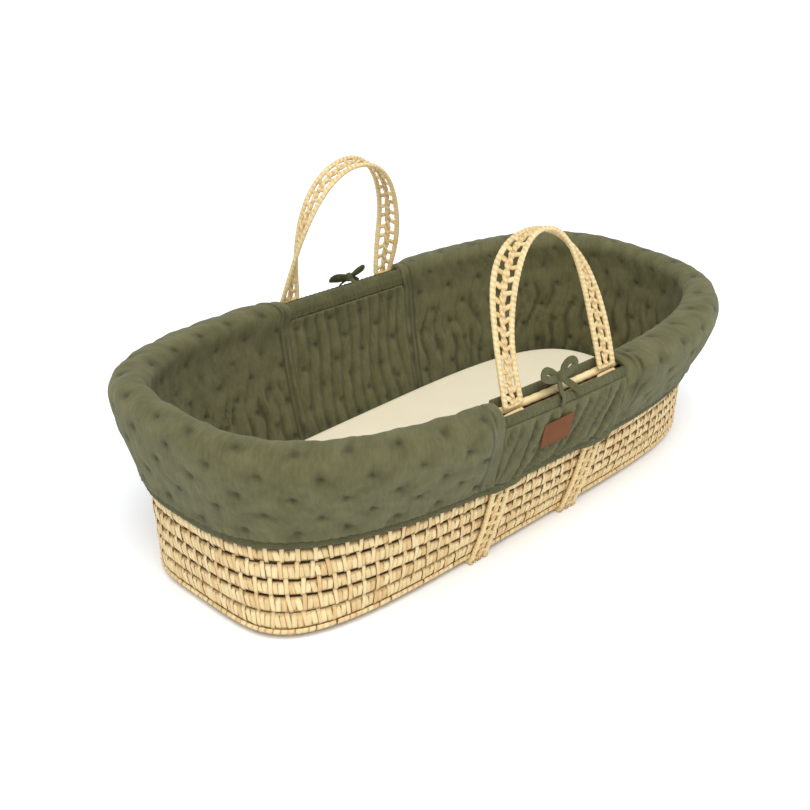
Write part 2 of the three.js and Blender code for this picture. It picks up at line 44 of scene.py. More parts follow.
CAMERA_PLACE = (-1.14815, -1.09248, 0.94842)
CAMERA_LENS = 61.92

azimuth, elevation = math.radians(CAMERA_AZIMUTH), math.radians(CAMERA_ELEVATION)
back = Vector((
    math.sin(azimuth) * math.cos(elevation),
    -math.cos(azimuth) * math.cos(elevation),
    math.sin(elevation),
))
across = Vector((0, 0, 1)).cross(back).normalized()
camera_data = bpy.data.cameras.new("studio_camera")
camera_data.lens = CAMERA_LENS
camera_data.clip_end = 100
camera = bpy.data.objects.new("studio_camera", camera_data)
camera.matrix_world = Matrix.Translation(CAMERA_PLACE) @ Matrix(
    (across, back.cross(across), back)
).transposed().to_4x4()
bpy.context.collection.objects.link(camera)
bpy.context.scene.camera = camera
bpy.context.scene.view_settings.view_transform = "Standard"

dome = bpy.data.worlds.new("dome")
dome.use_nodes = True
dome.node_tree.nodes["Background"].inputs["Color"].default_value = (0.96, 0.98, 1, 1)
dome.node_tree.nodes["Background"].inputs["Strength"].default_value = 0.78
bpy.context.scene.world = dome

sun = bpy.data.lights.new("window_light", "SUN")
sun.energy = 2.3
sun.angle = math.radians(38)
sun_holder = bpy.data.objects.new("window_light", sun)
sun_holder.rotation_euler = Vector((-0.42, -0.55, 1.15)).to_track_quat("Z", "Y").to_euler()
bpy.context.collection.objects.link(sun_holder)

floor_mesh = bpy.data.meshes.new("floor")
floor_mesh.from_pydata([(-9, -9, 0), (9, -9, 0), (9, 9, 0), (-9, 9, 0)], [], [(0, 1, 2, 3)])
floor = bpy.data.objects.new("floor", floor_mesh)
bpy.context.collection.objects.link(floor)
floor_paint = bpy.data.materials.new("floor_paint")
floor_paint.use_nodes = True
floor_paint.node_tree.nodes["Principled BSDF"].inputs["Base Color"].default_value = (0.94, 0.95, 0.97, 1)
floor_paint.node_tree.nodes["Principled BSDF"].inputs["Roughness"].default_value = 0.9
floor_mesh.materials.append(floor_paint)


# Wall: ten rows of plaited palm leaf sewn edge to edge round an oval. Each row is a flat core
# wrapped in upright leaf strips, and every third strip reaches over to the row above, with a
# narrow slot left open between two such strips.
FOOT = (0.387, 0.155, 4.5)
TOP = (0.408, 0.197, 3.0)
FOOT_HEIGHT = 0.015
RIM_LEVEL, RIM_SAG, RIM_SLOPE = 0.216, 0.013, 0.048
ROD_RADIUS = 0.005
ROD_INSET = 0.0035
ROWS = 10
SLOTS = (0.0016, 0.0032, 0.0056, 0.0034, 0.0066, 0.0050, 0.0040, 0.0040, 0.0040, 0.0040)
STRIP_MODULE = 0.0192
WALL_HEIGHT = 0.195
STRIP_BULGE, STRIP_TUCK, STRIP_THICK = 0.0006, 0.0020, 0.0009
chance = np.random.default_rng(11)


def rim_height(x):
    """The rim dips in the middle and falls towards the foot end."""
    return RIM_LEVEL + RIM_SAG * (x / TOP[0]) ** 2 - RIM_SLOPE * x


def walk_oval(half_length, half_width, squareness, fractions):
    """Points on a superellipse by the fraction of its length, 0 at +X and 0.25 at +Y."""
    angle = np.linspace(0, 2 * np.pi, 1921)
    c, s = np.cos(angle), np.sin(angle)
    x = half_length * np.sign(c) * np.abs(c) ** (2 / squareness)
    y = half_width * np.sign(s) * np.abs(s) ** (2 / squareness)
    run = np.concatenate([[0], np.cumsum(np.hypot(np.diff(x), np.diff(y)))])
    along = (np.asarray(fractions) % 1.0) * run[-1]
    return np.interp(along, run, x), np.interp(along, run, y)


def wall_oval(share):
    """The wall's half length, half width and squareness at a share of its height."""
    flare = 1 - (1 - share) ** 1.8
    sizes = [FOOT[i] + (TOP[i] - FOOT[i]) * flare for i in (0, 1)]
    return sizes[0], sizes[1], TOP[2] + (FOOT[2] - TOP[2]) * (1 - share) ** 4


# The wall's oval at 61 heights, each walked in 1440 steps, to look points up in.
SHARES, TURNS = np.linspace(0, 1, 61), np.arange(1441) / 1440
wall_x, wall_y = (np.stack(rows) for rows in zip(*(walk_oval(*wall_oval(s), TURNS) for s in SHARES)))


def look_up(table, share, turn):
    """A table's value between its rows and columns."""
    row = np.clip(share, 0, 1) * 60
    column = (turn % 1.0) * 1440
    r, c = np.minimum(row.astype(int), 59), np.minimum(column.astype(int), 1439)
    fr, fc = row - r, column - c
    low = table[r, c] * (1 - fc) + table[r, c + 1] * fc
    high = table[r + 1, c] * (1 - fc) + table[r + 1, c + 1] * fc
    return low * (1 - fr) + high * fr


def wall_point(turn, share, out):
    """A point on the wall's outer face, moved out of it level."""
    turn, share, out = np.broadcast_arrays(*(np.asarray(v, float) for v in (turn, share, out)))
    x, y = look_up(wall_x, share, turn), look_up(wall_y, share, turn)
    step = 0.004
    ahead = look_up(wall_x, share, turn + step), look_up(wall_y, share, turn + step)
    behind = look_up(wall_x, share, turn - step), look_up(wall_y, share, turn - step)
    dx, dy = ahead[0] - behind[0], ahead[1] - behind[1]
    length = np.hypot(dx, dy)
    x, y = x + out * dy / length, y - out * dx / length
    z = FOOT_HEIGHT + share * (rim_height(x) - ROD_RADIUS - 0.001 - FOOT_HEIGHT)
    return np.stack([x, y, z], -1)


def make_piece(name, points, faces, uv=None, values=None):
    """A mesh object from arrays. uv and each named value have one entry per point."""
    mesh = bpy.data.meshes.new(name)
    mesh.from_pydata(np.asarray(points).tolist(), [], faces)
    if uv is not None:
        corners = np.empty(len(mesh.loops), int)
        mesh.loops.foreach_get("vertex_index", corners)
        mesh.uv_layers.new(name="cloth").data.foreach_set("uv", np.asarray(uv, np.float32)[corners].ravel())
    for key, value in (values or {}).items():
        mesh.attributes.new(key, "FLOAT", "POINT").data.foreach_set("value", np.asarray(value, np.float32))
    mesh.polygons.foreach_set("use_smooth", [True] * len(mesh.polygons))
    piece = bpy.data.objects.new(name, mesh)
    bpy.context.collection.objects.link(piece)
    return piece


def skin(rings, corners, closed=False, caps=True):
    """Faces over rings of points, each ring with the same number of corners."""
    ring, corner = np.meshgrid(np.arange(rings if closed else rings - 1), np.arange(corners), indexing="ij")
    ahead, beside = (ring + 1) % rings, (corner + 1) % corners
    quads = np.stack([
        ring * corners + corner, ring * corners + beside, ahead * corners + beside, ahead * corners + corner,
    ], -1).reshape(-1, 4)
    faces = quads.tolist()
    if caps and not closed:
        faces.append(list(range(corners))[::-1])
        faces.append([(rings - 1) * corners + c for c in range(corners)])
    return faces


class Bundle:
    """Gathers many small strands into one mesh."""

    def __init__(self):
        self.points, self.faces, self.uv, self.values, self.count = [], [], [], {}, 0

    def add(self, rings, uv, **values):
        rings = np.asarray(rings)
        n, m = rings.shape[:2]
        self.points.append(rings.reshape(-1, 3))
        self.faces.extend([[i + self.count for i in face] for face in skin(n, m)])
        self.uv.append(np.asarray(uv).reshape(-1, 2))
        for key, value in values.items():
            self.values.setdefault(key, []).append(np.broadcast_to(value, (n, m)).reshape(-1))
        self.count += n * m

    def piece(self, name, layer="leaf"):
        mesh = bpy.data.meshes.new(name)
        mesh.from_pydata(np.concatenate(self.points).tolist(), [], self.faces)
        corners = np.empty(len(mesh.loops), int)
        mesh.loops.foreach_get("vertex_index", corners)
        uv = np.concatenate(self.uv).astype(np.float32)
        mesh.uv_layers.new(name=layer).data.foreach_set("uv", uv[corners].ravel())
        for key, value in self.values.items():
            mesh.attributes.new(key, "FLOAT", "POINT").data.foreach_set(
                "value", np.concatenate(value).astype(np.float32))
        mesh.polygons.foreach_set("use_smooth", [True] * len(mesh.polygons))
        made = bpy.data.objects.new(name, mesh)
        bpy.context.collection.objects.link(made)
        return made


def node(tree, kind, **settings):
    made = tree.nodes.new(kind)
    for key, value in settings.items():
        setattr(made, key, value)
    return made


def texture(tree, kind, vector, sockets, **settings):
    """A texture or mapping over a vector, with plain values on its sockets."""
    made = node(tree, kind, **settings)
    tree.links.new(vector, made.inputs["Vector"])
    for key, value in sockets.items():
        made.inputs[key].default_value = value
    return made


def noise(tree, vector, **sockets):
    return texture(tree, "ShaderNodeTexNoise", vector, sockets).outputs["Fac"]


def stretched(tree, vector, scale):
    return texture(tree, "ShaderNodeMapping", vector, {"Scale": scale}).outputs["Vector"]


def join(tree, value, socket):
    """Links a socket, or sets it to a plain value."""
    if isinstance(value, bpy.types.NodeSocket):
        tree.links.new(value, socket)
    else:
        socket.default_value = value


def arithmetic(tree, operation, *values, clamp=False):
    made = node(tree, "ShaderNodeMath", operation=operation, use_clamp=clamp)
    for socket, value in zip(made.inputs, values):
        join(tree, value, socket)
    return made.outputs[0]


def dye_mix(tree, amount, first, second):
    made = node(tree, "ShaderNodeMix", data_type="RGBA")
    for key, value in (("Factor", amount), ("A", first), ("B", second)):
        join(tree, value, made.inputs[key])
    return made.outputs["Result"]


def new_finish(name, roughness):
    finish = bpy.data.materials.new(name)
    finish.use_nodes = True
    shader = finish.node_tree.nodes["Principled BSDF"]
    shader.inputs["Roughness"].default_value = roughness
    return finish, finish.node_tree, shader


def finish_surface(tree, shader, colour, height, strength, distance):
    """Gives the shader its colour and a fine relief."""
    tree.links.new(colour, shader.inputs["Base Color"])
    bump = node(tree, "ShaderNodeBump")
    bump.inputs["Strength"].default_value = strength
    bump.inputs["Distance"].default_value = distance
    tree.links.new(height, bump.inputs["Height"])
    tree.links.new(bump.outputs["Normal"], shader.inputs["Normal"])


def palm_leaf(name, pale, ochre, brown):
    """Dried palm leaf: fine fibres along each strip, a tone of its own, darker edges, and painted shade in
    tucks, grooves and the recessed core.
    """
    finish, tree, shader = new_finish(name, 0.58)
    uv = node(tree, "ShaderNodeUVMap", uv_map="leaf").outputs["UV"]
    fibre = noise(tree, stretched(tree, uv, (1100, 60, 1)), Scale=1, Detail=3)
    patch = noise(tree, uv, Scale=90)
    tone = node(tree, "ShaderNodeAttribute", attribute_name="tone").outputs["Fac"]
    edge = node(tree, "ShaderNodeAttribute", attribute_name="edge").outputs["Fac"]
    shift = arithmetic(tree, "MULTIPLY_ADD", tone, 0.75, -0.78)
    amount = arithmetic(tree, "MULTIPLY_ADD", fibre, 1.5, shift, clamp=True)
    leaf = dye_mix(tree, amount, (*pale, 1), (*ochre, 1))
    # Painted shade in part: the edge value darkens the strips' sides, and paints shade into the tucked ends,
    # the strand grooves and the recessed core.
    edge_darkening_and_shade = arithmetic(tree, "MULTIPLY", edge, patch, clamp=True)
    leaf = dye_mix(tree, edge_darkening_and_shade, leaf, (*brown, 1))
    finish_surface(tree, shader, leaf, fibre, 0.35, 0.0006)
    return finish


straw = palm_leaf("dried_palm_leaf", (0.82, 0.66, 0.35), (0.60, 0.37, 0.135), (0.20, 0.085, 0.022))


def leaf_strip(bundle, turn, width, low, high, lean, stand, tone):
    """One upright leaf strip on the wall, from one share of its height to another."""
    t = np.linspace(0, 1, 6)[:, None]
    across = np.array([-1, -0.72, 0, 0.72, 1, 0])[None, :]
    face = np.array([0.1, 0.75, 1, 0.75, 0.1, -1])[None, :]
    share = low + (high - low) * t + 0 * across
    centre = turn + lean * (t - 0.5)
    narrowing = 1 - 0.10 * (2 * t - 1) ** 4
    place = centre + across * narrowing * width / 2
    ends = (2 * t - 1) ** 10
    out = stand + STRIP_BULGE * face * (1 - ends) - STRIP_TUCK * ends + STRIP_THICK * (face < 0) * -1
    rings = wall_point(place, share, out)
    height = (high - low) * WALL_HEIGHT
    start = chance.random() * 3
    uv = np.stack([across * 0.0035 + start + 0 * t, t * height + start + 0 * across], -1)
    # edge: the strip darkens along its sides, and its tucked ends, where it passes into the seam, get painted
    # shade.
    edge = np.clip(np.abs(across) ** 4 * 0.8 + ends * 1.0, 0, 1) + 0 * t
    bundle.add(rings, uv, tone=np.full(share.shape, tone), edge=edge)


def woven_row(name, node_name, modules, low, high, slot_share, reach):
    """A row of strips in threes, of which the third reaches over to the row above, on a core."""
    wall = Bundle()
    shift = chance.random()
    for module in range(modules):
        start = (module + shift + 0.12 * (chance.random() - 0.5)) / modules
        unit = 1 / modules
        for part, (centre, wide) in enumerate(((0.17, 0.36), (0.54, 0.38), (0.88, 0.27))):
            bridge = part == 2 and reach
            lean = unit * (0.34 * (chance.random() - 0.5) - 0.06)
            wobble = 0.0012 / WALL_HEIGHT * (chance.random(2) - 0.5)
            bottom = low + (slot_share * 0.5 if not bridge else slot_share * 0.2) + wobble[0]
            top = high - slot_share * 0.5 + wobble[1] if not bridge else high + slot_share * 0.75
            tone = np.clip(chance.normal(0.46, 0.34), 0, 1)
            stand = 0.0009 * chance.random() + (0.0004 if bridge else 0)
            width = wide * unit * (1.02 + 0.16 * chance.random())
            leaf_strip(wall, start + centre * unit, width, bottom, top, lean, stand - 0.0011, tone)
    # The flat core inside the strips is a closed band.
    core_low, core_high = low + slot_share * 0.5, high - slot_share * 0.5
    ring_turns = np.arange(240) / 240
    corner = [(core_low, -0.0022), (core_high, -0.0022), (core_high, -0.0058), (core_low, -0.0058)]
    rings = np.stack([wall_point(ring_turns, s, o) for s, o in corner], 1)
    count = wall.count
    wall.points.append(rings.reshape(-1, 3))
    wall.faces.extend([[i + count for i in face] for face in skin(240, 4, closed=True)])
    wall.uv.append(np.stack([np.tile([0, 0.003, 0.006, 0.009], 240), np.repeat(ring_turns * 2, 4)], -1))
    # Painted shade: the recessed core gets a dark tone and a high edge value, so the slots between the strips
    # read dark.
    wall.values["tone"].append(np.full(960, 0.8))
    wall.values["edge"].append(np.full(960, 0.8))
    wall.count += 960
    piece = wall.piece(name)
    piece.data.materials.append(straw)
    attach(piece, "basket")
    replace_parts(piece, node_name)


for row in range(ROWS):
    girth = 2.12 + 0.012 * row
    woven_row(
        f"palm_row_{row + 1:02d}", f"wall_row_{row + 1:02d}", round(girth / STRIP_MODULE),
        row / ROWS, (row + 1) / ROWS, SLOTS[row] / WALL_HEIGHT, row < ROWS - 1,
    )


# Border: the last, narrow row of palm leaf. It turns in under the wall's foot and is sewn to the
# base mat, so it is what the basket stands on round its edge.
border = Bundle()
BORDER_STRIPS = 236
border_t = np.linspace(0, 1, 7)[:, None]
border_out = np.interp(border_t, [0, 0.25, 0.55, 0.8, 1], [-0.0122, -0.0062, -0.0012, 0.0006, -0.0014])
border_up = np.interp(border_t, [0, 0.25, 0.55, 0.8, 1], [0.0072, 0.0066, 0.0088, 0.0118, 0.0150])
border_across = np.array([-1, -0.7, 0, 0.7, 1, 0])[None, :]
border_face = np.array([0.0, 0.7, 1, 0.7, 0.0, -0.6])[None, :]
for strip in range(BORDER_STRIPS):
    middle = (strip + 0.3 * chance.random()) / BORDER_STRIPS
    turn = middle + border_across * 0.56 / BORDER_STRIPS + 0.3 * (border_t - 0.5) / BORDER_STRIPS
    rings = wall_point(turn, 0 * turn, border_out + 0.0010 * border_face - 0.0004 + 0 * turn)
    rings[..., 2] = border_up - 0.0003 * border_face * (border_t < 0.5)
    seed = chance.random()
    border_uv = [border_across * 0.004 + seed + 0 * border_t, border_t * 0.02 + 0 * border_across]
    border.add(
        rings, np.stack(border_uv, -1), tone=np.full(turn.shape, np.clip(chance.normal(0.6, 0.22), 0, 1)),
        edge=np.abs(border_across) ** 3 + 0 * border_t,
    )
border_piece = border.piece("palm_border")
border_piece.data.materials.append(straw)
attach(border_piece, "basket")
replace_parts(border_piece, "wall_border_row")


# Base mat: flat rings of plaited palm leaf, sewn one inside another into a mat six millimetres
# thick, with a groove along each seam.
MAT_LOW, MAT_HIGH = 0.0064, 0.0124
MAT_ROWS = 8
mat_rings, mat_turns = 6 * MAT_ROWS + 1, np.arange(360) / 360
mat_points = []
for ring in range(mat_rings):
    scale = max(ring / (mat_rings - 1), 0.004)
    x, y = walk_oval(0.3736, 0.1416, 4.5, mat_turns)
    phase = ring / 6 % 1
    dip = 0.0012 * abs(math.cos(math.pi * phase)) ** 6 + 0.0004 * np.cos(mat_turns * 2 * math.pi * 180)
    mat_points.append(np.stack([x * scale, y * scale, MAT_LOW + np.maximum(dip, 0)], -1))
for ring in reversed(range(mat_rings)):
    mat_points.append(np.stack([mat_points[ring][:, 0], mat_points[ring][:, 1], np.full(360, MAT_HIGH)], -1))
mat = Bundle()
mat_rings_all = np.stack(mat_points, 0)
mat_tone = np.clip(chance.normal(0.45, 0.2, (mat_rings_all.shape[0] // 6 + 2, 180)), 0, 1)
mat_index = np.arange(mat_rings_all.shape[0])
mat.add(
    mat_rings_all, mat_rings_all[..., :2],
    tone=np.repeat(mat_tone[mat_index // 6], 2, axis=1), edge=np.zeros(mat_rings_all.shape[:2]) + 0.2,
)
mat_piece = mat.piece("plaited_base_mat")
mat_piece.data.materials.append(straw)
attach(mat_piece, "basket")
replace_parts(mat_piece, "base_mat")


# Rim rod: a cane about 10 mm thick, wound flat with split leaf. It is sewn along the wall's top
# edge and stiffens it, and shows bare where the liner is notched for the handles.
def roll_point(turn, out, up, end_share=0.75):
    """Steps out from the rod's centre and up from it. Steps outwards are shorter at the ends."""
    grow = end_share * out if out > 0 else out
    x, y = walk_oval(TOP[0] - ROD_INSET + grow, TOP[1] - ROD_INSET + out, TOP[2], turn)
    return np.stack([x, y, rim_height(x) + up], -1)


rod = Bundle()
rod_turns, rod_angles = np.arange(900) / 900, np.arange(16) / 16 * 2 * np.pi
rod_rings = np.stack([
    roll_point(rod_turns, ROD_RADIUS * 0.97 * np.cos(a), ROD_RADIUS * 0.97 * np.sin(a), 1) for a in rod_angles
], 1)
rod_rings[..., 2] += 0.0003 * np.cos(rod_turns[:, None] * 2 * np.pi * 130 + rod_angles[None, :])
rod.points.append(rod_rings.reshape(-1, 3))
rod.faces.extend(skin(900, 16, closed=True))
rod.uv.append(np.stack([np.repeat(rod_turns * 2.1, 16), np.tile(rod_angles * 0.005, 900)], -1))
rod.values = {"tone": [np.repeat(chance.random(900) * 0.25 + 0.1, 16)], "edge": [np.zeros(900 * 16)]}
rod_piece = rod.piece("wound_rim_rod")
rod_piece.data.materials.append(straw)
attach(rod_piece, "basket")
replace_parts(rod_piece, "rim_rod")


# Carrying straps: an open plait of palm cord 32 mm wide, with a bound cord along each edge, a
# twisted pair down the middle and short laces between. Each one is a sling: up one side of
# the wall, under the base and up the other.
STRAP_HALF = 0.016
STRAP_SPREAD = 0.084
STRAP_SKEW = 0.009
LACE_PITCH = 0.0155
HEM = (0.4084, 0.1928)


class StrapLine:
    """A strap's middle line with its width and face directions, looked up by length along it."""

    def __init__(self, middle, width, face):
        self.run = np.concatenate([[0], np.cumsum(np.linalg.norm(np.diff(middle, axis=0), axis=1))])
        self.middle, self.width, self.face = middle, width, face

    def at(self, run, side, stand):
        run = np.asarray(run, float)
        found = [
            np.stack([np.interp(run, self.run, table[:, i]) for i in range(3)], -1)
            for table in (self.middle, self.width, self.face)
        ]
        return found[0] + found[1] * np.asarray(side)[..., None] + found[2] * np.asarray(stand)[..., None]


def strand(bundle, line, run, side, stand, half_width, half_depth, tone, sides=8, ridge=0.0, ridges=0.006):
    """One palm strand along a path in the strap's own length, side and stand-off."""
    step_run, step_side = np.gradient(run), np.gradient(side)
    size = np.hypot(step_run, step_side) + 1e-12
    away = -step_side / size, step_run / size
    angle = np.arange(sides) / sides * 2 * np.pi
    taper = np.ones(len(run))
    taper[0] = taper[-1] = 0.35
    length = np.concatenate([[0], np.cumsum(np.hypot(np.diff(run), np.diff(side)))])
    swell = 1 + ridge * np.cos(length[:, None] / ridges * 2 * np.pi + angle[None, :])
    wide = half_width * taper[:, None] * swell * np.cos(angle)[None, :]
    deep = half_depth * taper[:, None] * swell * np.sin(angle)[None, :]
    run, side = run[:, None] + away[0][:, None] * wide, side[:, None] + away[1][:, None] * wide
    rings = line.at(run, side, stand[:, None] + deep)
    seed = chance.random() * 5
    uv = np.stack(np.broadcast_arrays(angle * 0.0012 + seed, length[:, None]), -1)
    # edge: painted shade in the grooves between the ridges, and a darker streak along one face of the strand.
    edge = np.clip((1 - swell) * 9 + 0.5 * np.abs(np.sin(angle / 2 + 0.7))[None, :] ** 8, 0, 1)
    bundle.add(rings, uv, tone=tone, edge=edge * np.ones_like(wide))


def plait(bundle, line, start, stop, tone_middle=0.35):
    """The whole strap: two edge cords, a twisted pair, laces to each side and a bound end."""
    count = max(int((stop - start) / 0.0018), 8)
    run = np.linspace(start, stop, count)
    flat = np.zeros(count)
    for side in (-1, 1):
        wander = 0.0005 * np.sin(run / 0.021 + side)
        strand(
            bundle, line, run, side * (STRAP_HALF - 0.0036) + wander, flat, 0.0035, 0.0030,
            tone_middle - 0.02, sides=10, ridge=0.05, ridges=0.0062)
    for phase in (0, np.pi):
        sway = run / 0.026 * 2 * np.pi + phase
        strand(
            bundle, line, run, 0.0019 * np.sin(sway), 0.0010 * np.cos(sway), 0.0025, 0.0018,
            tone_middle + 0.3, ridge=0.08, ridges=0.008)
    laces = int((stop - start) / LACE_PITCH)
    for lace in range(laces):
        for side in (-1, 1):
            here = start + (lace + 0.5 + 0.22 * side) * LACE_PITCH + 0.0012 * (chance.random() - 0.5)
            slant = 0.0045 * (0.6 + 0.8 * chance.random())
            t = np.linspace(0, 1, 5)
            path_run = np.clip(here + slant * (t - 0.5), start + 0.002, stop - 0.002)
            path_side = side * (0.0015 + t * (STRAP_HALF - 0.0055))
            hump = 0.0010 * np.sin(t * np.pi) * (1 if (lace + (side > 0)) % 2 else -1)
            tone = np.clip(chance.normal(tone_middle + 0.25, 0.3), 0, 1)
            strand(bundle, line, path_run, path_side, hump, 0.0030, 0.0014, tone, sides=6)
    for end in (start + 0.0015, stop - 0.0015):
        t = np.linspace(-1, 1, 7)
        strand(bundle, line, end + 0 * t, t * (STRAP_HALF - 0.002), 0.0 * t, 0.0018, 0.0026, 0.5, sides=6)


def turn_at(x, side):
    """Where x lies on the front (-1) or back (1) side, as a fraction of the hem's oval."""
    fractions = np.linspace(0, 0.5, 2001) + (0 if side > 0 else 0.5)
    places = walk_oval(*HEM, TOP[2], fractions)[0]
    return float(np.interp(x, places[::side * -1], fractions[::side * -1]))


def bend(a, b, c, d, t):
    """A smooth curve from b to c, whose neighbours are a and d."""
    straight, curve, twist = c - a, 2 * a - 5 * b + 4 * c - d, 3 * b - a - 3 * c + d
    return 0.5 * (2 * b + straight * t + curve * t ** 2 + twist * t ** 3)


def smooth_line(knots, step=0.002):
    """A curve through knots, sampled about every step."""
    knots = np.asarray(knots, float)
    padded = np.vstack([2 * knots[0] - knots[1], knots, 2 * knots[-1] - knots[-2]])
    points = []
    for i in range(len(knots) - 1):
        a, b, c, d = padded[i:i + 4]
        count = max(int(np.linalg.norm(c - b) / step), 2)
        points.append(bend(a, b, c, d, np.linspace(0, 1, count, endpoint=False)[:, None]))
    return np.vstack(points + [knots[-1:]])


def sling_side(place, side):
    """Outward and upward distances of a sling's middle, from the base to the rim."""
    stand = 0.0037
    knots = [(FOOT[1] - 0.022, 0.0034), (FOOT[1] - 0.007, 0.0034), (FOOT[1] + 0.0005, 0.007)]
    turn = turn_at(place, side)
    for share in (0.03, 0.12, 0.22, 0.34, 0.48, 0.62, 0.76, 0.88):
        spot = wall_point(turn, share, stand)
        knots.append((abs(spot[1]), spot[2]))
    lift = rim_height(place) - RIM_LEVEL
    return knots + [(0.202, 0.204 + lift), (0.202, 0.2175 + lift)]


for word, end in (("head", -1), ("foot", 1)):
    places = [end * STRAP_SPREAD + side * STRAP_SKEW for side in (-1, 1)]
    front = [(-y, z) for y, z in sling_side(places[0], -1)][::-1]
    knots = np.array(front + sling_side(places[1], 1))
    profile = smooth_line(knots)
    x = sum(places) / 2 + (places[1] - places[0]) / (2 * FOOT[1]) * np.clip(profile[:, 0], -FOOT[1], FOOT[1])
    middle = np.stack([x, profile[:, 0], profile[:, 1]], -1)
    along = np.gradient(middle, axis=0)
    along /= np.linalg.norm(along, axis=1)[:, None]
    width = np.tile([1.0, 0, 0], (len(middle), 1))
    width -= along * np.sum(width * along, axis=1)[:, None]
    width /= np.linalg.norm(width, axis=1)[:, None]
    face = np.cross(width, along)
    line = StrapLine(middle, width, face)
    sling = Bundle()
    plait(sling, line, 0.001, line.run[-1] - 0.001)
    sling_piece = sling.piece(f"sling_{word}")
    sling_piece.data.materials.append(straw)
    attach(sling_piece, "basket")
    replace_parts(sling_piece, f"strap_{word}")


# Handles: each is the same plait bent into an arch. Its legs face outwards, and it turns over
# on its way up so that it lies flat in the palm on top.
HINGE_OUT, HINGE_HEIGHT = 0.202, 0.222
for word, side, rise, lean, late in (("front", -1, 0.184, 18, 1.94), ("back", 1, 0.180, 8.5, 0.56)):
    angle = np.linspace(0, np.pi, 2001)
    arch = np.stack([-STRAP_SPREAD * np.cos(angle), rise * np.sin(angle) ** (2 / 3)], -1)
    run = np.concatenate([[0], np.cumsum(np.linalg.norm(np.diff(arch, axis=0), axis=1))])
    even = np.linspace(0, run[-1], 301)
    arch = np.stack([np.interp(even, run, arch[:, i]) for i in (0, 1)], -1)
    along = np.gradient(arch, axis=0)
    along[0], along[-1] = (0, 1), (0, -1)
    along /= np.linalg.norm(along, axis=1)[:, None]
    share = even / run[-1]
    way = (1 - np.abs(2 * share - 1)) ** late
    turned = (3 * way ** 2 - 2 * way ** 3) * np.pi / 2
    radial = np.stack([-along[:, 1], along[:, 0], 0 * share], -1)
    outward = np.tile([0, 0, -float(side)], (len(share), 1))
    face = outward * np.cos(turned)[:, None] + radial * np.sin(turned)[:, None]
    along = np.column_stack([along, 0 * share])
    width = np.cross(face, along)
    centre = side * STRAP_SKEW
    upright = Matrix(((1, 0, 0), (0, 0, -1), (0, 1, 0))).to_4x4()
    placed = (
        Matrix.Translation((centre, side * HINGE_OUT, HINGE_HEIGHT - RIM_SLOPE * centre))
        @ Matrix.Rotation(math.atan(RIM_SLOPE), 4, "Y")
        @ Matrix.Rotation(math.radians(side * lean), 4, "X") @ upright
    )
    turn_matrix = np.array(placed.to_3x3())
    spot = np.column_stack([arch, 0 * share]) @ turn_matrix.T + np.array(placed.translation)
    line = StrapLine(spot, width @ turn_matrix.T, face @ turn_matrix.T)
    handle = Bundle()
    plait(handle, line, 0.0006, line.run[-1] - 0.0006, tone_middle=0.25)
    handle_piece = handle.piece(f"plaited_handle_{word}")
    handle_piece.data.materials.append(straw)
    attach(handle_piece, f"{word}_handle_arch")
    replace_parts(handle_piece, f"{word}_handle")


# Liner: two quilted end panels of double muslin over wadding. Each lines the wall, rolls over the
# rim and hangs outside down to the hem. Tufts in staggered rows tie the layers together, and the
# cloth is gathered a little between them, so it wrinkles upright.
HEM_HEIGHT, HEM_SLOPE, HEM_HALF = 0.122, 0.0335, 0.0064
LINING_GAP = 0.0069
LINING_SHARES = (0.012, 0.12, 0.3, 0.55, 0.8, 0.92)
LINING_DEEP = (0.0050, 0.0055, 0.0069, 0.0080, 0.0080, 0.0080)
ROLL_FRONT = (
    (-13.5, -1), (-11.5, 7), (-4, 13), (9, 13.2), (21, 9.8), (29.5, 3.2), (33.5, -6), (33.5, -18),
)
ROLL_BACK = (
    (-5.6, -1), (-4.6, 4.2), (-0.5, 6.6), (7, 6), (15, 3), (21.5, -1.5), (25, -9), (25.3, -18),
)
END_FRONT = ((-13.5, -1), (-11.5, 6), (-4, 10.5), (6, 10.5), (15, 8), (20.5, 1), (21.5, -8), (21, -18))
END_BACK = ((-5.6, -1), (-4.6, 4.2), (-0.5, 6.4), (5, 5.8), (10, 3), (13.5, -1.5), (14.5, -9), (14.5, -18))
SKIRT = ((0.3, 0.8), (0.6, 0.49), (0.82, 0.24), (1, 0.1))
RIM_GIRTH = 2.06
NOTCH_HALF = 0.106
TUFT_ALONG, TUFT_ROWS, TUFT_MARGIN = 0.055, 0.028, 0.012
TUFT_PUFF, TUFT_DEPTH = 0.0018, 0.0030
CLOTH_STEP = 0.0036
SETTLE_FRAMES = 16


def hem_point(turn, out, up):
    """A point on the liner's lower edge, moved out of it level and up."""
    x, y = walk_oval(*HEM, TOP[2], turn)
    wide_x, wide_y = walk_oval(HEM[0] + 0.01, HEM[1] + 0.01, TOP[2], turn)
    x, y = x + (wide_x - x) * out / 0.01, y + (wide_y - y) * out / 0.01
    return np.stack([x, y, HEM_HEIGHT - HEM_SLOPE * x + up], -1)


def strap_lift(turn):
    """How far the liner's lower edge is pushed out where it passes over a strap."""
    x, y = walk_oval(*HEM, TOP[2], turn)
    middle = STRAP_SKEW * np.sign(y)
    near = np.minimum(np.abs(x - middle - STRAP_SPREAD), np.abs(x - middle + STRAP_SPREAD))
    ramp = 1 - np.clip((near - 0.014) / 0.026, 0, 1)
    return 0.006 * ramp * ramp * (3 - 2 * ramp)


def skirt_points(turn, start, out):
    """Rows of points from the roll's outer foot down to the hem."""
    hem = hem_point(turn, out + strap_lift(turn), HEM_HALF)
    rows = []
    for share, bulge in SKIRT:
        spot = hem + (start - hem) * bulge
        spot[:, 2] = start[:, 2] + (hem[:, 2] - start[:, 2]) * share
        rows.append(spot)
    return rows


def lining_points(turn, deep):
    return [wall_point(turn, share, -LINING_GAP - d) for share, d in zip(LINING_SHARES, deep)]


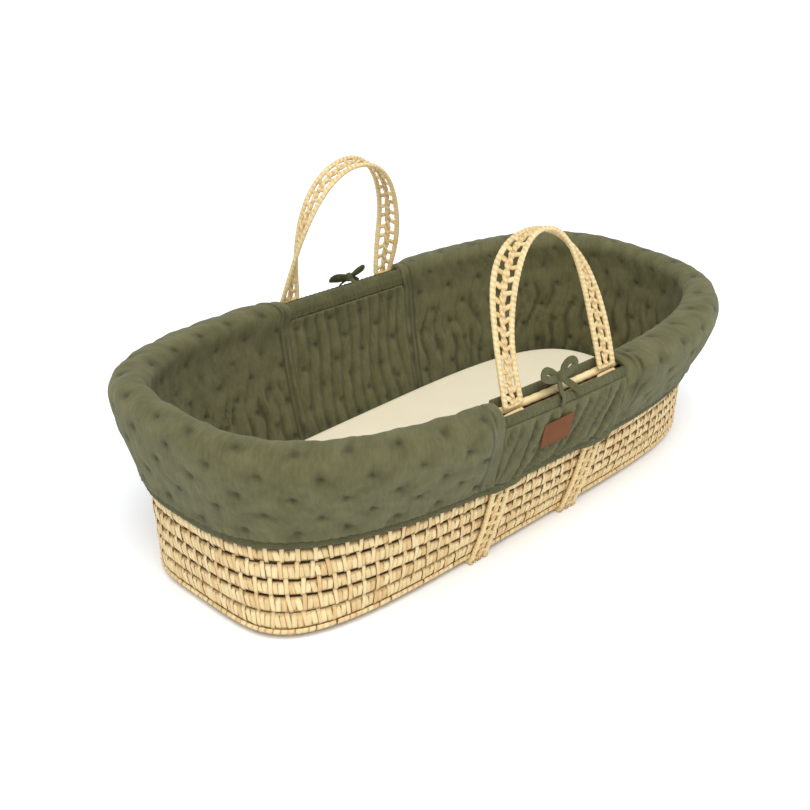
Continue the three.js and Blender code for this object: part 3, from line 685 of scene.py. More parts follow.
def roll_points(turn, full, end):
    """The roll over the rim, which thins towards the panel's two ends."""
    from_end = np.minimum(turn - turn[0], turn[-1] - turn) * RIM_GIRTH
    share = np.clip(from_end / 0.034, 0, 1)[:, None]
    share = share * share * (3 - 2 * share)
    return [
        roll_point(turn, thin[0] / 1000, thin[1] / 1000) * (1 - share)
        + roll_point(turn, fat[0] / 1000, fat[1] / 1000) * share
        for fat, thin in zip(full, end)
    ]


def end_panel_faces(turn):
    """The panel's front and back, as rows of points from the well's floor over the rim to the hem."""
    front = lining_points(turn, LINING_DEEP) + roll_points(turn, ROLL_FRONT, END_FRONT)
    back = lining_points(turn, [0] * 6) + roll_points(turn, ROLL_BACK, END_BACK)
    front += skirt_points(turn, front[-1], 0)
    back += skirt_points(turn, back[-1], -0.003)
    return np.stack(front, 1), np.stack(back, 1)


def through(knots, place):
    """A smooth curve through each row of knots, at places counted in knots."""
    count = knots.shape[1]
    padded = np.concatenate([2 * knots[:, :1] - knots[:, 1:2], knots, 2 * knots[:, -1:] - knots[:, -2:-1]], 1)
    first = np.clip(place.astype(int), 0, count - 2)
    return bend(*(padded[:, first + i] for i in range(4)), (place - first)[None, :, None])


def even_rows(front, back):
    """Both faces with their rows one cloth step apart on the front, and each row's run from the first."""
    fine = np.linspace(0, front.shape[1] - 1, 600)
    middle = through(front, fine)[front.shape[0] // 2]
    run = np.concatenate([[0], np.cumsum(np.linalg.norm(np.diff(middle, axis=0), axis=1))])
    rows = int(round(run[-1] / CLOTH_STEP)) + 1
    place = np.interp(np.linspace(0, run[-1], rows), run, fine)
    return through(front, place), through(back, place), np.linspace(0, run[-1], rows)


def facing(grid):
    """The way that each point of a grid faces."""
    along, up = np.gradient(grid, axis=0), np.gradient(grid, axis=1)
    normal = np.cross(up, along)
    return normal / (np.linalg.norm(normal, axis=-1)[..., None] + 1e-12)


def tuft_places(length, rows, shift):
    """Staggered tufts over a panel, as runs along it and up it."""
    places = []
    for number, row in enumerate(rows):
        start = shift + (0.5 * TUFT_ALONG if number % 2 else 0)
        for run in np.arange(start, length, TUFT_ALONG):
            jitter = chance.normal(0, 0.0016, 2)
            if TUFT_MARGIN < run < length - TUFT_MARGIN:
                places.append((run + jitter[0], row + jitter[1]))
    return np.array(places)


def quilt(along, up, tufts):
    """Height of the quilted face: a soft mound between tufts and a tight dimple at each."""
    near, crease = np.full(along.shape, 1.0), np.zeros(along.shape)
    for run, row in tufts:
        far = np.hypot((along - run) * 0.85, up - row)
        near = np.minimum(near, far)
        angle = np.arctan2(up - row, along - run) + chance.normal(0, 0.25)
        rays = np.cos(angle * 3 + chance.random() * 6)
        crease += np.exp(-(far / 0.013) ** 2) * rays * (1 - np.exp(-(far / 0.005) ** 2))
    height = TUFT_PUFF * (1 - np.exp(-(near / 0.013) ** 2)) - TUFT_DEPTH * np.exp(-(near / 0.0030) ** 2)
    return height + 0.0004 * crease, near


def seam(height, distance):
    """Raises a folded seam with two stitched lines along the places where distance is nought."""
    near = np.abs(distance)
    ridge = np.exp(-(near / 0.004) ** 4)
    stitch = np.exp(-((near - 0.0030) / 0.0007) ** 2) + 1.3 * np.exp(-(near / 0.0008) ** 2)
    return height * (1 - ridge) + ridge * 0.0026 - 0.0011 * stitch


def settle(piece_name, start, rest, pinned, reach=0.0065):
    """Lets cloth that is cut larger than its place find its own wrinkles between the pinned points."""
    n, m = start.shape[:2]
    i, j = (v.ravel() for v in np.meshgrid(np.arange(n - 1), np.arange(m - 1), indexing="ij"))
    faces = np.stack([i * m + j, (i + 1) * m + j, (i + 1) * m + j + 1, i * m + j + 1], -1).tolist()
    cloth = make_piece(piece_name + "_cloth", start.reshape(-1, 3), faces)
    cloth.shape_key_add(name="Basis")
    cut = cloth.shape_key_add(name="cut")
    cut.data.foreach_set("co", rest.reshape(-1))
    group = cloth.vertex_groups.new(name="sewn")
    group.add(np.flatnonzero(pinned.ravel()).tolist(), 1.0, "REPLACE")
    cloth_mod = cloth.modifiers.new("settle", "CLOTH")
    settings = cloth_mod.settings
    settings.quality = 4
    settings.mass = 0.25
    settings.air_damping = 6
    settings.tension_stiffness = settings.compression_stiffness = 30
    settings.shear_stiffness = 8
    settings.bending_stiffness = 0.05
    settings.tension_damping = settings.compression_damping = settings.shear_damping = 8
    settings.vertex_group_mass = "sewn"
    settings.rest_shape_key = cut
    settings.effector_weights.gravity = 0
    cloth_mod.collision_settings.use_collision = False
    cloth_mod.point_cache.frame_start, cloth_mod.point_cache.frame_end = 1, SETTLE_FRAMES
    for number in range(1, SETTLE_FRAMES + 1):
        bpy.context.scene.frame_set(number)
    shown = cloth.evaluated_get(bpy.context.evaluated_depsgraph_get())
    found = np.empty(n * m * 3)
    shown.data.vertices.foreach_get("co", found)
    bpy.data.objects.remove(cloth, do_unlink=True)
    bpy.context.scene.frame_set(1)
    move = found.reshape(n, m, 3) - start
    length = np.linalg.norm(move, axis=-1, keepdims=True)
    return start + move * np.minimum(1, reach / (length + 1e-9))


def hollow_shade_amount(settled, smooth, near, seam_distance):
    """How much painted shade each place gets, from 0 to 1: how deep it lies between its neighbours, with the
    tufts and stitches full.
    """
    high = np.sum((settled - smooth) * facing(smooth), axis=-1)
    level = high.copy()
    for _ in range(14):
        level[1:-1, 1:-1] = (level[:-2, 1:-1] + level[2:, 1:-1] + level[1:-1, :-2] + level[1:-1, 2:]) / 4
    sunk = np.clip((level - high) / 0.0016, 0, 1) * 0.6
    stitch = 0.8 * np.exp(-((np.abs(seam_distance) - 0.0030) / 0.0012) ** 2)
    tuft = 0.95 * np.exp(-(near / 0.0022) ** 2)
    return np.clip(np.maximum(np.maximum(sunk, tuft), stitch), 0, 1)


def shell(name, front, back, along, up, values):
    """A closed piece between two faces that share their grid."""
    n, m = front.shape[:2]
    wall = n * m
    i, j = (v.ravel() for v in np.meshgrid(np.arange(n - 1), np.arange(m - 1), indexing="ij"))
    quad = np.stack([i * m + j, i * m + j + 1, (i + 1) * m + j + 1, (i + 1) * m + j], -1)
    faces = quad.tolist() + (quad[:, ::-1] + wall).tolist()
    rim = [i * m for i in range(n)] + [(n - 1) * m + j for j in range(1, m)]
    rim += [i * m + m - 1 for i in range(n - 2, -1, -1)] + [j for j in range(m - 2, 0, -1)]
    for a, b in zip(rim, rim[1:] + rim[:1]):
        faces.append([a, b, b + wall, a + wall])
    uv = np.stack([along, up], -1).reshape(-1, 2)
    return make_piece(
        name, np.concatenate([front.reshape(-1, 3), back.reshape(-1, 3)]), faces, np.concatenate([uv, uv]),
        {key: np.concatenate([value.ravel(), value.ravel()]) for key, value in values.items()},
    )


def muslin(name, colour, wear_and_highlight):
    """Crinkled double muslin: a soft plain weave, a little mottled and paler where it is worn, with painted
    highlight on the raised crinkles and painted shade in the hollows.
    """
    finish, tree, shader = new_finish(name, 0.93)
    shader.inputs["Sheen Weight"].default_value = 0.18
    shader.inputs["Sheen Roughness"].default_value = 0.5
    shader.inputs["Sheen Tint"].default_value = (0.75, 0.78, 0.6, 1)
    shader.inputs["Specular IOR Level"].default_value = 0.2
    uv = node(tree, "ShaderNodeUVMap", uv_map="cloth").outputs["UV"]
    crinkle = noise(tree, stretched(tree, uv, (260, 90, 1)), Scale=1, Detail=4, Distortion=0.6)
    mottle = noise(tree, uv, Scale=38, Detail=5)
    thread = {"Scale": 260, "Distortion": 1.2, "Detail": 1, "Detail Scale": 3}
    weft, warp = (
        texture(tree, "ShaderNodeTexWave", uv, thread, bands_direction=way).outputs["Fac"] for way in "XY"
    )
    # Painted highlight: the tone follows the crinkle that also raises the bump, so the raised crinkles turn
    # paler. The mottle is the cloth's own.
    tone = arithmetic(tree, "ADD", mottle, arithmetic(tree, "MULTIPLY", crinkle, 0.6))
    ramp = node(tree, "ShaderNodeMapRange")
    ramp.inputs["From Min"].default_value = 0.55
    ramp.inputs["From Max"].default_value = 1.05
    tree.links.new(tone, ramp.inputs["Value"])
    dye = dye_mix(tree, ramp.outputs["Result"], (*colour, 1), (*wear_and_highlight, 1))
    # Painted shade: hollows, tufts and stitched lines are mixed towards a darkened copy of the cloth's
    # colour.
    hollow_shade = node(tree, "ShaderNodeAttribute", attribute_name="hollow_shade").outputs["Fac"]
    dye = dye_mix(tree, hollow_shade, dye, (*(0.30 * c for c in colour), 1))
    height = arithmetic(tree, "MULTIPLY_ADD", arithmetic(tree, "MULTIPLY", weft, warp), 0.3, crinkle)
    finish_surface(tree, shader, dye, height, 0.6, 0.0015)
    return finish


olive = muslin("olive_muslin", (0.088, 0.083, 0.033), (0.140, 0.132, 0.060))


def end_panel(name, side):
    """The quilted panel round one end of the basket, from notch to notch."""
    back_notch = turn_at(side * NOTCH_HALF + STRAP_SKEW, 1)
    front_notch = turn_at(side * NOTCH_HALF - STRAP_SKEW, -1)
    start, stop = (back_notch, front_notch) if side < 0 else (front_notch, back_notch + 1)
    columns = int((stop - start) * RIM_GIRTH / CLOTH_STEP)
    turn = np.linspace(start, stop, columns)
    front, back, rows = even_rows(*end_panel_faces(turn))
    girth = (stop - start) * RIM_GIRTH
    along, up = np.meshgrid(np.linspace(0, girth, columns), rows, indexing="ij")
    length = rows[-1]
    inside = np.clip((0.150 - up) / 0.03, 0, 1)
    tufts = tuft_places(girth, np.arange(length - 0.012, 0.012, -TUFT_ROWS), 0.021)
    height, near = quilt(along, up, tufts)
    # Upright wrinkles: the lining has more cloth than the wall has girth, the skirt only a little.
    drift = 0.006 * np.sin(up / 0.031 + 3 * np.sin(along / 0.11)) + 0.004 * np.sin(up / 0.013 + along / 0.05)
    wrinkle = np.sin((along + drift) / 0.0135 * 2 * np.pi + 2 * np.sin(along / 0.07)) ** 3
    fold = np.sin((along + 1.6 * drift) / 0.024 * 2 * np.pi + 1.3)
    away = 1 - np.exp(-(near / 0.007) ** 2)
    patchy = 0.65 + 0.35 * np.sin(along / 0.019 + 2.5 * np.sin(up / 0.024 + along / 0.06))
    height = height + inside * away * patchy * (0.0018 * wrinkle + 0.0019 * fold)
    over_rim = np.exp(-((up - 0.195) / 0.026) ** 2)
    height *= 1 - 0.55 * over_rim
    height += (1 - inside) * away * 0.0004 * fold
    # Small puckers where the skirt runs into the elastic hem.
    hem_share = np.clip(1 - (length - up) / 0.016, 0, 1) ** 1.5
    height += hem_share * 0.0007 * np.sin((along + drift) / 0.0095 * 2 * np.pi)
    tilt = 0.011 + 0.008 * np.clip((up - 0.19) / 0.1, 0, 1)
    from_edge = np.minimum(along, girth - along) - tilt
    height = seam(height, from_edge)
    normal = facing(front)
    start_grid = front + normal * height[..., None]
    growth = 1.03 + 0.05 * inside + 0.03 * hem_share
    centre = np.array([0.62 * side * 0.4, 0, 0])
    rest = centre + (start_grid - centre) * np.stack([growth, growth, np.full_like(growth, 1.015)], -1)
    pinned = np.abs(from_edge) < 0.0045
    for run, row in tufts:
        pinned |= np.hypot(along - run, up - row) < 0.0026
    pinned[[0, -1], :] = True
    pinned[:, [0, 1, -2, -1]] = True
    settled = settle(name, start_grid, rest, pinned)
    # The value stored here paints shade into the quilting's hollows, tufts and stitches.
    panel = shell(name, settled, back, along, up, {"hollow_shade": hollow_shade_amount(settled, front, near, from_edge)})
    panel.data.materials.append(olive)
    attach(panel, "basket")
    return panel


for word, side in (("head", -1), ("foot", 1)):
    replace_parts(end_panel(f"quilted_{word}_panel", side), f"liner_{word}_panel")


# Flaps: on each side one flap lines the wall between the handle's legs and one hangs outside over
# the two straps. Both are quilted muslin. The outer ones are drawn up into slanting folds.
FLAP_REACH = NOTCH_HALF - 0.0004
FLAP_FRONT = ((20, -10.4), (21.5, -26), (17, -48), (12.6, -70))


def flap_turns(side, step=CLOTH_STEP):
    ends = sorted(turn_at(side * STRAP_SKEW + end * FLAP_REACH, side) for end in (-1, 1))
    return np.linspace(*ends, int((ends[1] - ends[0]) * RIM_GIRTH / step))


def inner_flap_faces(turn):
    front = lining_points(turn, LINING_DEEP) + [roll_point(turn, -0.0126, -0.0104)]
    back = lining_points(turn, [0] * 6) + [roll_point(turn, -0.0056, -0.0104)]
    return np.stack(front, 1), np.stack(back, 1)


def outer_flap_faces(turn):
    front = [roll_point(turn, out / 1000, up / 1000) for out, up in FLAP_FRONT]
    back = [roll_point(turn, (out - 6.5) / 1000, up / 1000) for out, up in FLAP_FRONT]
    front.append(hem_point(turn, strap_lift(turn), HEM_HALF))
    back.append(hem_point(turn, strap_lift(turn) - 0.003, HEM_HALF))
    return np.stack(front, 1), np.stack(back, 1)


def flap(name, side, outer):
    """A quilted flap. The outer ones are drawn up into slanting folds, the inner ones into upright ones."""
    turn = flap_turns(side)
    front, back = outer_flap_faces(turn) if outer else inner_flap_faces(turn)
    front, back, rows = even_rows(front, back)
    girth = (turn[-1] - turn[0]) * RIM_GIRTH
    along, up = np.meshgrid(np.linspace(0, girth, len(turn)), rows, indexing="ij")
    length = rows[-1]
    first = 0.020 if outer else length - 0.016
    last = length - 0.012 if outer else 0.012
    tufts = tuft_places(girth, np.arange(first, last, TUFT_ROWS if outer else -TUFT_ROWS), 0.028)
    height, near = quilt(along, up, tufts)
    away = 1 - np.exp(-(near / 0.007) ** 2)
    if outer:
        slant = along + 0.42 * up + 0.004 * np.sin(up / 0.02 + along / 0.03)
        gather = 0.0024 * np.sin(slant / 0.021 * 2 * np.pi) + 0.0013 * np.sin(slant / 0.0125 * 2 * np.pi + 1)
        height = height * 0.8 + away * gather * np.clip(up / 0.012, 0.25, 1)
        hem_share = np.clip(1 - (length - up) / 0.016, 0, 1) ** 1.5
        height += hem_share * 0.0006 * np.sin(along / 0.0095 * 2 * np.pi)
    else:
        drift = 0.006 * np.sin(up / 0.03 + 3 * np.sin(along / 0.09))
        height = height + away * 0.0015 * np.sin((along + drift) / 0.019 * 2 * np.pi)
    normal = facing(front)
    edges = np.clip(np.minimum(along, girth - along) / 0.006, 0.15, 1)
    start_grid = front + normal * (height * edges)[..., None]
    growth = 1.07 if outer else 1.06
    centre = start_grid.mean((0, 1))
    rest = centre + (start_grid - centre) * np.array([growth, growth, 1.02])
    pinned = np.zeros(along.shape, bool)
    for run, row in tufts:
        pinned |= np.hypot(along - run, up - row) < 0.0026
    pinned[[0, -1], :] = True
    pinned[:, [0, 1, -2, -1]] = True
    settled = settle(name, start_grid, rest, pinned, reach=0.005)
    # The value stored here paints shade into the quilting's hollows, tufts and stitches.
    piece = shell(name, settled, back, along, up, {"hollow_shade": hollow_shade_amount(settled, front, near, 1.0)})
    piece.data.materials.append(olive)
    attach(piece, "basket")
    return piece


for word, side in (("front", -1), ("back", 1)):
    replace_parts(flap(f"quilted_{word}_inner_flap", side, False), f"liner_{word}_inner_flap")
    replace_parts(flap(f"quilted_{word}_outer_flap", side, True), f"liner_{word}_outer_flap")


# Lining under the mattress: one quilted oval of the same muslin, sewn to the end panels and the
# inner flaps round its edge.
under_rings, under_turns = 40, np.arange(200) / 200
scale = np.linspace(1, 0.004, under_rings)[:, None]
edge_x, edge_y = walk_oval(0.374, 0.142, 4.5, under_turns)
under_x, under_y = edge_x[None, :] * scale, edge_y[None, :] * scale
dimple = np.cos(under_x / 0.0275 * np.pi) * np.cos(under_y / 0.028 * np.pi)
under_top = 0.0158 - 0.0006 * np.clip(dimple - 0.7, 0, 1) / 0.3
top_rings = np.stack([under_x, under_y, under_top], -1)
low_rings = np.stack([under_x, under_y, np.full_like(under_x, 0.0130)], -1)[::-1]
under = make_piece(
    "quilted_floor_lining", np.concatenate([low_rings, top_rings]).reshape(-1, 3), skin(2 * under_rings, 200),
    np.concatenate([low_rings, top_rings])[..., :2].reshape(-1, 2),
)
under.data.materials.append(olive)
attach(under, "basket")
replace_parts(under, "liner_base")


# Bindings: a folded muslin tape closes each flap's top edge. The back one laps over the rim rod.
# Each is stitched along its lower edge and puckers a little.
TAPE_THICK = 0.0036


def tape(name, side, profile, slot_turns):
    """A tape along the rim whose cross-section is a closed profile of steps out from the rod and up."""
    rings = []
    for place, (out, up) in enumerate(profile):
        pucker = 0.0004 * np.sin(slot_turns * RIM_GIRTH / 0.0075 * 2 * np.pi + place * 0.4)
        ring = roll_point(slot_turns, out, up)
        rings.append(ring + np.stack([0 * pucker, side * pucker, 0.6 * pucker], -1))
    rings = np.stack(rings, 1)
    around = np.cumsum([0] + [math.dist(a, b) for a, b in zip(profile, profile[1:])])
    uv = np.stack(np.broadcast_arrays((slot_turns * RIM_GIRTH)[:, None], around[None, :] + 0.3), -1)
    piece = make_piece(name, rings.reshape(-1, 3), skin(len(slot_turns), len(profile)), uv.reshape(-1, 2))
    piece.data.materials.append(tape_muslin)
    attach(piece, "basket")
    return piece


def folded_profile(low, high, lean):
    """A flat loop with a rounded top, and a stitched line pressed in near its lower edge."""
    shares = np.linspace(0, 1, 9)
    line = [(low[0] + (high[0] - low[0]) * share, low[1] + (high[1] - low[1]) * share) for share in shares]
    press = 0.0010 * np.exp(-((shares - 0.16) / 0.05) ** 2)
    face = [(out + TAPE_THICK - dip, up) for (out, up), dip in zip(line, press)]
    fold = [
        (high[0] + TAPE_THICK * math.cos(a), high[1] + TAPE_THICK * 0.9 * math.sin(a))
        for a in np.linspace(0.5, 2.6, 5)
    ]
    rear = [(out - TAPE_THICK, up) for out, up in line[::-1]]
    return [(out + lean * max(up, 0), up) for out, up in face + fold + rear]


tape_muslin = muslin("binding_muslin", (0.068, 0.065, 0.026), (0.108, 0.103, 0.045))
for word, side in (("front", -1), ("back", 1)):
    over_rod = side > 0
    turn = flap_turns(side, 0.0022)
    inner_top = 0.0065 if over_rod else 0.0095
    inner = folded_profile((-0.0092, -0.0100), (-0.0088, inner_top), 0.6 if over_rod else 0)
    outer = folded_profile((0.0168, -0.0100), (0.0160, -0.0016), 0)
    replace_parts(tape(f"{word}_inner_tape", side, inner, turn), f"{word}_inner_binding")
    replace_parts(tape(f"{word}_outer_tape", side, outer, turn), f"{word}_outer_binding")


# Hem: a flat casing of the same tape round the liner's lower edge, with elastic drawn through it,
# which grips the wall and rides over the straps.
hem_turns = np.arange(1000) / 1000
hem_shares = np.linspace(0, 2 * np.pi, 17)[:-1]
hem_rings = []
ruffle = np.sin(hem_turns * 2 * np.pi * 240 + 2 * np.sin(hem_turns * 2 * np.pi * 31))
for place in hem_shares:
    c, s_ = math.cos(place), math.sin(place)
    out = -0.0015 + 0.0015 * math.copysign(abs(c) ** 0.5, c) + (0.00025 * ruffle if c > 0 else 0 * ruffle)
    up = 0.0058 * math.copysign(abs(s_) ** 0.6, s_)
    hem_rings.append(hem_point(hem_turns, out + strap_lift(hem_turns), up))
hem_rings = np.stack(hem_rings, 1)
hem_uv = np.stack(np.broadcast_arrays((hem_turns * 2.05)[:, None], (hem_shares * 0.0045)[None, :]), -1)
hem_piece = make_piece(
    "elastic_hem", hem_rings.reshape(-1, 3), skin(1000, 16, closed=True), hem_uv.reshape(-1, 2))
hem_piece.data.materials.append(tape_muslin)
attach(hem_piece, "basket")
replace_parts(hem_piece, "hem_band")


# Ties: a bow of narrow muslin tape on each side, with a flat knot, two slack loops and two tails.
# Its tape comes up from the inner binding and stands over the rim rod.
def tie_ribbon(bundle, points, wide, thick, start_face, twist=0.0):
    """A flat tape along a curve, drawn in where it leaves the knot and turned by twist at its end."""
    path = smooth_line(points, 0.0011)
    along = np.gradient(path, axis=0)
    along /= np.linalg.norm(along, axis=1)[:, None]
    share = np.linspace(0, 1, len(path))
    face = np.tile(np.array(start_face, float), (len(path), 1))
    face -= along * np.sum(face * along, axis=1)[:, None]
    face /= np.linalg.norm(face, axis=1)[:, None]
    width = np.cross(face, along)
    turned = twist * share
    normal = face * np.cos(turned)[:, None] + width * np.sin(turned)[:, None]
    width = np.cross(normal, along)
    angle = np.arange(14) / 14 * 2 * np.pi
    c, s_ = np.cos(angle), np.sin(angle)
    flat = np.sign(c) * np.abs(c) ** 0.7, np.sign(s_) * np.abs(s_) ** 0.5
    crease = 0.0006 * np.sin(share * 23)[:, None] * c[None, :] * np.abs(s_)[None, :]
    squeeze = 1 - 0.42 * np.exp(-(share / 0.10) ** 2)
    rings = path[:, None] + width[:, None] * (flat[0][None, :] * wide * squeeze[:, None])[..., None]
    rings = rings + normal[:, None] * (flat[1][None, :] * thick + crease)[..., None]
    run = np.concatenate([[0], np.cumsum(np.linalg.norm(np.diff(path, axis=0), axis=1))])
    uv = np.stack(np.broadcast_arrays(run[:, None], flat[0][None, :] * wide), -1)
    bundle.add(rings, uv, tone=0.5, edge=0.0)


TIE_OUT = 0.012
LOOP_HALF, TAIL_HALF, TIE_THICK = 0.0046, 0.0044, 0.0011
LEFT_LOOP = (
    (-2, 0, 1), (-9, -2, 6), (-19, -3, 12), (-27, -1, 13), (-30, 1, 8), (-22, 2, 3), (-9, 1, -1), (-1, 0, 0),
)
RIGHT_LOOP = (
    (2, 0, 1), (9, -2, 7), (17, -2, 13), (24, 0, 13), (27, 1, 8), (20, 2, 3), (9, 1, 0), (1, 0, 0),
)
LEFT_TAIL = ((-1, 1, -1), (-3, 3, -8), (-4, 6, -15), (-4, 10, -21), (-5, 12, -27), (-7, 12, -33))
RIGHT_TAIL = ((1, 1, -1), (7, 3, -7), (14, 6, -14), (20, 9, -20), (24, 12, -25), (27, 12, -29))


def make_bow(word, side, place, up, flatness, band):
    """A bow at a place along the rim, so far above the rod. A flat one has low loops and short tails."""
    bow = Bundle()
    reach = np.array([1, side, flatness]) / 1000
    face = (0, side, 0.35)
    for loop in (LEFT_LOOP, RIGHT_LOOP):
        tie_ribbon(bow, np.array(loop) * reach, LOOP_HALF, TIE_THICK, face)
    for tail, twist in ((LEFT_TAIL, 0.5), (RIGHT_TAIL, -0.5)):
        tie_ribbon(bow, np.array(tail) * reach, TAIL_HALF, TIE_THICK, face, twist)
    tie_ribbon(bow, np.array(band) * np.array([1, side, 1]) / 1000, 0.0036, 0.0010, (0, 0, 1))
    around, rise = np.arange(20) / 20 * 2 * np.pi, np.linspace(-0.98, 0.98, 11)[:, None]
    girth = (1 - rise ** 2) ** 0.3 * (1 + 0.08 * np.cos(around * 3 + 1))
    knot = [0.0062 * rise + 0 * around, 0.0050 * girth * np.cos(around), 0.0060 * girth * np.sin(around)]
    knot_uv = np.stack([rise * 0.006 + 0 * around, around * 0.005 + 0 * rise], -1)
    bow.add(np.stack(knot, -1), knot_uv, tone=0.5, edge=0.0)
    piece = bow.piece(f"bow_{word}", "cloth")
    spot = (place, side * (TOP[1] - ROD_INSET + TIE_OUT), rim_height(place) + up)
    piece.data.transform(Matrix.Translation(spot))
    piece.data.materials.append(tape_muslin)
    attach(piece, "basket")
    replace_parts(piece, f"{word}_tie")


FRONT_BAND = ((0, -21, -27), (0, -20, -19), (0, -14, -11), (0, -6, -4), (0, -1, -1))
BACK_BAND = ((0, -22, -15), (0, -21, -8), (0, -14, -4), (0, -6, -2), (0, -1, 0))
make_bow("front", -1, -0.018, 0.024, 0.95, FRONT_BAND)
make_bow("back", 1, 0.033, 0.013, 0.55, BACK_BAND)


# Label: a small plate of brown leather with rounded corners, pressed border and stitches, sewn to the
# front outer flap. Its face is otherwise blank.
LABEL_HALF = (0.026, 0.015)
LABEL_PLACE, LABEL_OUT, LABEL_DOWN = -0.031, 0.0232, 0.038
label_columns, label_rows = 53, 31
lx, lz = np.meshgrid(np.linspace(-1, 1, label_columns), np.linspace(-1, 1, label_rows), indexing="ij")
past_x = np.clip(np.abs(lx) * 26 - 24.6, 0, None)
past_z = np.clip(np.abs(lz) * 15 - 13.6, 0, None)
corner = np.clip(np.hypot(past_x, past_z) - 1.4, 0, None) / 1000
label_x = lx * LABEL_HALF[0] - np.sign(lx) * corner * 0.7
label_z = lz * LABEL_HALF[1] - np.sign(lz) * corner * 0.7
border_near = np.minimum((1 - np.abs(lx)) * 26, (1 - np.abs(lz)) * 15)
pressed = 0.0003 * np.exp(-((border_near - 2.2) / 0.45) ** 2)
rounded = 0.0005 * np.exp(-(border_near / 0.5) ** 2)
label_height = 0.0011 - pressed - rounded + 0.00054 * np.sin(lx * 2.2 + 0.4)
front_face = np.stack([label_x + 0.0015 * lz, -label_height, label_z + 0.0012 * lx], -1)
back_face = front_face * np.array([1, 0, 1]) + np.array([0, 0.0005, 0])
label = shell("leather_tag", front_face[::-1], back_face[::-1], lx * LABEL_HALF[0], lz * LABEL_HALF[1], {})
label_spot = (LABEL_PLACE, -(TOP[1] - ROD_INSET + LABEL_OUT), rim_height(LABEL_PLACE) - LABEL_DOWN)
label.data.transform(
    Matrix.Translation(label_spot) @ Matrix.Rotation(RIM_SLOPE, 4, "Y") @ Matrix.Rotation(0.08, 4, "X"))


def leather(name, colour, dark):
    """Smooth vegetable-tanned leather with a fine pebble grain and darker, rubbed patches."""
    finish, tree, shader = new_finish(name, 0.62)
    shader.inputs["Specular IOR Level"].default_value = 0.2
    place = node(tree, "ShaderNodeTexCoord").outputs["Object"]
    grain = texture(tree, "ShaderNodeTexVoronoi", place, {"Scale": 1100}).outputs["Distance"]
    cloud = noise(tree, place, Scale=70, Detail=5)
    dye = dye_mix(tree, cloud, (*dark, 1), (*colour, 1))
    finish_surface(tree, shader, dye, grain, 0.3, 0.0002)
    return finish


label.data.materials.append(leather("tag_leather", (0.19, 0.064, 0.020), (0.12, 0.038, 0.011)))
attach(label, "basket")
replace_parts(label, "leather_label")


# Mattress: a foam core, slightly crowned, under a cotton jersey sheet whose elastic edge is pulled
# in underneath.
MATTRESS = (0.368, 0.1465, 3.6)
MATTRESS_LOW, MATTRESS_THICK, MATTRESS_EDGE, MATTRESS_TURNS = 0.0166, 0.040, 0.011, 240


def cotton(name, colour, shade):
    """Plain knitted cotton: very fine ribs, faint mottling."""
    finish, tree, shader = new_finish(name, 0.9)
    shader.inputs["Sheen Weight"].default_value = 0.1
    uv = node(tree, "ShaderNodeUVMap", uv_map="cloth").outputs["UV"]
    knit = {"Scale": 330, "Distortion": 0.5}
    rib = texture(tree, "ShaderNodeTexWave", uv, knit, bands_direction="Y").outputs["Fac"]
    cloud = noise(tree, uv, Scale=25, Detail=4)
    dye = dye_mix(tree, cloud, (*shade, 1), (*colour, 1))
    finish_surface(tree, shader, dye, rib, 0.12, 0.0003)
    return finish


def cushion_rings(inset, low, high, tuck, steps):
    """Rings from under the mattress, out round its edge and in over its top to the middle."""
    edge = MATTRESS_EDGE - inset
    below, above = np.linspace(-1.57, 0, steps), np.linspace(0, 1.57, steps)
    profile = [(shrink, low) for shrink in np.linspace(tuck, edge + inset + 0.002, 8)]
    profile += [(inset + edge * (1 - math.cos(a)), low + edge * (1 + math.sin(a))) for a in below]
    profile += [(inset + edge * (1 - math.cos(a)), high - edge * (1 - math.sin(a))) for a in above]
    profile += [(shrink, high) for shrink in np.linspace(edge + inset + 0.004, MATTRESS[1] - 0.0008, 26)]
    turn = np.arange(MATTRESS_TURNS) / MATTRESS_TURNS
    rings = []
    for shrink, height in profile:
        inwards = min(shrink / MATTRESS[1], 0.999)
        squareness = MATTRESS[2] if inwards < 0.3 else MATTRESS[2] + (2 - MATTRESS[2]) * (inwards - 0.3) / 0.7
        half_length = MATTRESS[0] - shrink * (1 + 1.5 * inwards ** 3)
        x, y = walk_oval(half_length, MATTRESS[1] - shrink, squareness, turn)
        rings.append(np.stack([x, y, np.full(MATTRESS_TURNS, height)], -1))
    return np.stack(rings)


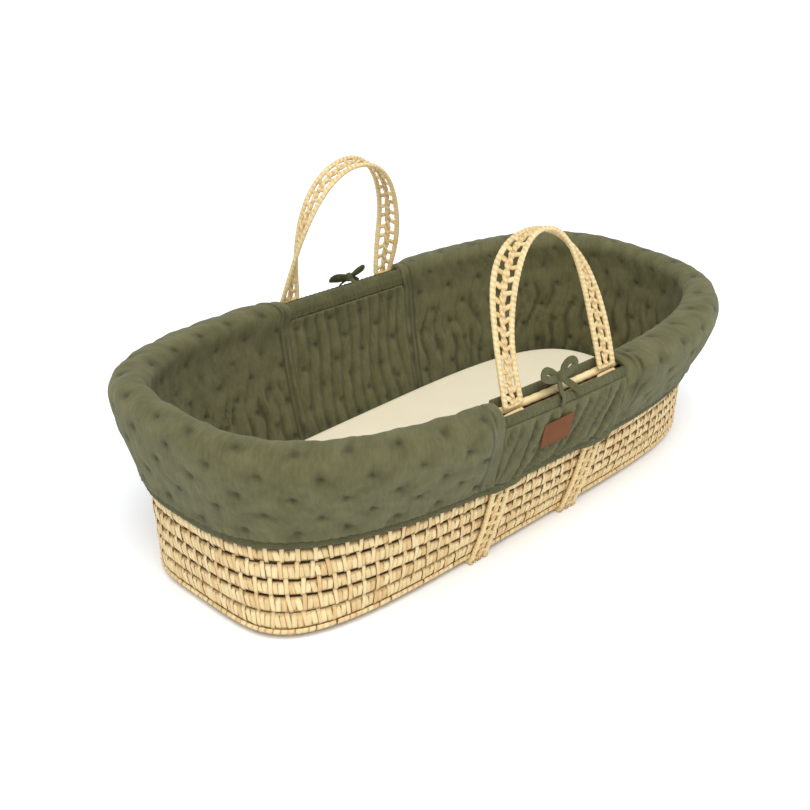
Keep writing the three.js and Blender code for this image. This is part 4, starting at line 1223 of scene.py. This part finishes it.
foam_low, foam_high = MATTRESS_LOW + 0.0018, MATTRESS_LOW + MATTRESS_THICK - 0.0018
foam_rings = cushion_rings(0.0019, foam_low, foam_high, MATTRESS[1] - 0.001, 6)
foam_piece = make_piece(
    "foam_mattress", foam_rings.reshape(-1, 3), skin(len(foam_rings), MATTRESS_TURNS),
    foam_rings[..., :2].reshape(-1, 2),
)
foam_piece.data.materials.append(cotton("pale_foam", (0.86, 0.80, 0.60), (0.80, 0.74, 0.54)))
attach(foam_piece, "mattress")
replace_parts(foam_piece, "mattress_foam")

SHEET_TUCK = 0.034
SHEET_THICK = 0.0011
sheet_out = cushion_rings(0.0, MATTRESS_LOW, MATTRESS_LOW + MATTRESS_THICK, SHEET_TUCK, 9)
swell = np.sin(sheet_out[..., 0] / 0.19 + 1) * np.sin(sheet_out[..., 1] / 0.11 + 0.6)
flat_top = sheet_out[..., 2] > MATTRESS_LOW + MATTRESS_THICK - 0.0006
sheet_out[..., 2] += np.where(flat_top, 0.0004 * swell, 0)
side_turn = np.arange(MATTRESS_TURNS)[None, :] / MATTRESS_TURNS
beside = np.clip(1 - np.abs(sheet_out[..., 2] - 0.030) / 0.016, 0, 1)
pull = 0.0009 * beside * (np.sin(side_turn * 2 * np.pi * 61 + 2 * np.sin(side_turn * 2 * np.pi * 9)) - 0.4)
sheet_out[..., 0] *= 1 + pull / MATTRESS[0]
sheet_out[..., 1] *= 1 + pull / MATTRESS[1]
sheet_in = sheet_out - SHEET_THICK * facing(sheet_out.transpose(1, 0, 2)).transpose(1, 0, 2)
ring_count = len(sheet_out)
closed_rings = np.concatenate([sheet_out, sheet_in[::-1]])
sheet_faces = skin(2 * ring_count, MATTRESS_TURNS, caps=False)
first = np.arange(MATTRESS_TURNS)
last, beyond = first + (2 * ring_count - 1) * MATTRESS_TURNS, (first + 1) % MATTRESS_TURNS
sheet_faces += np.stack([first, last, last[beyond], beyond], -1).tolist()
sheet_piece = make_piece(
    "cotton_fitted_sheet", closed_rings.reshape(-1, 3), sheet_faces, closed_rings[..., :2].reshape(-1, 2))
sheet_piece.data.materials.append(cotton("cream_jersey", (0.80, 0.72, 0.53), (0.74, 0.66, 0.47)))
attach(sheet_piece, "mattress")
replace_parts(sheet_piece, "fitted_sheet")

bpy.context.view_layer.update()
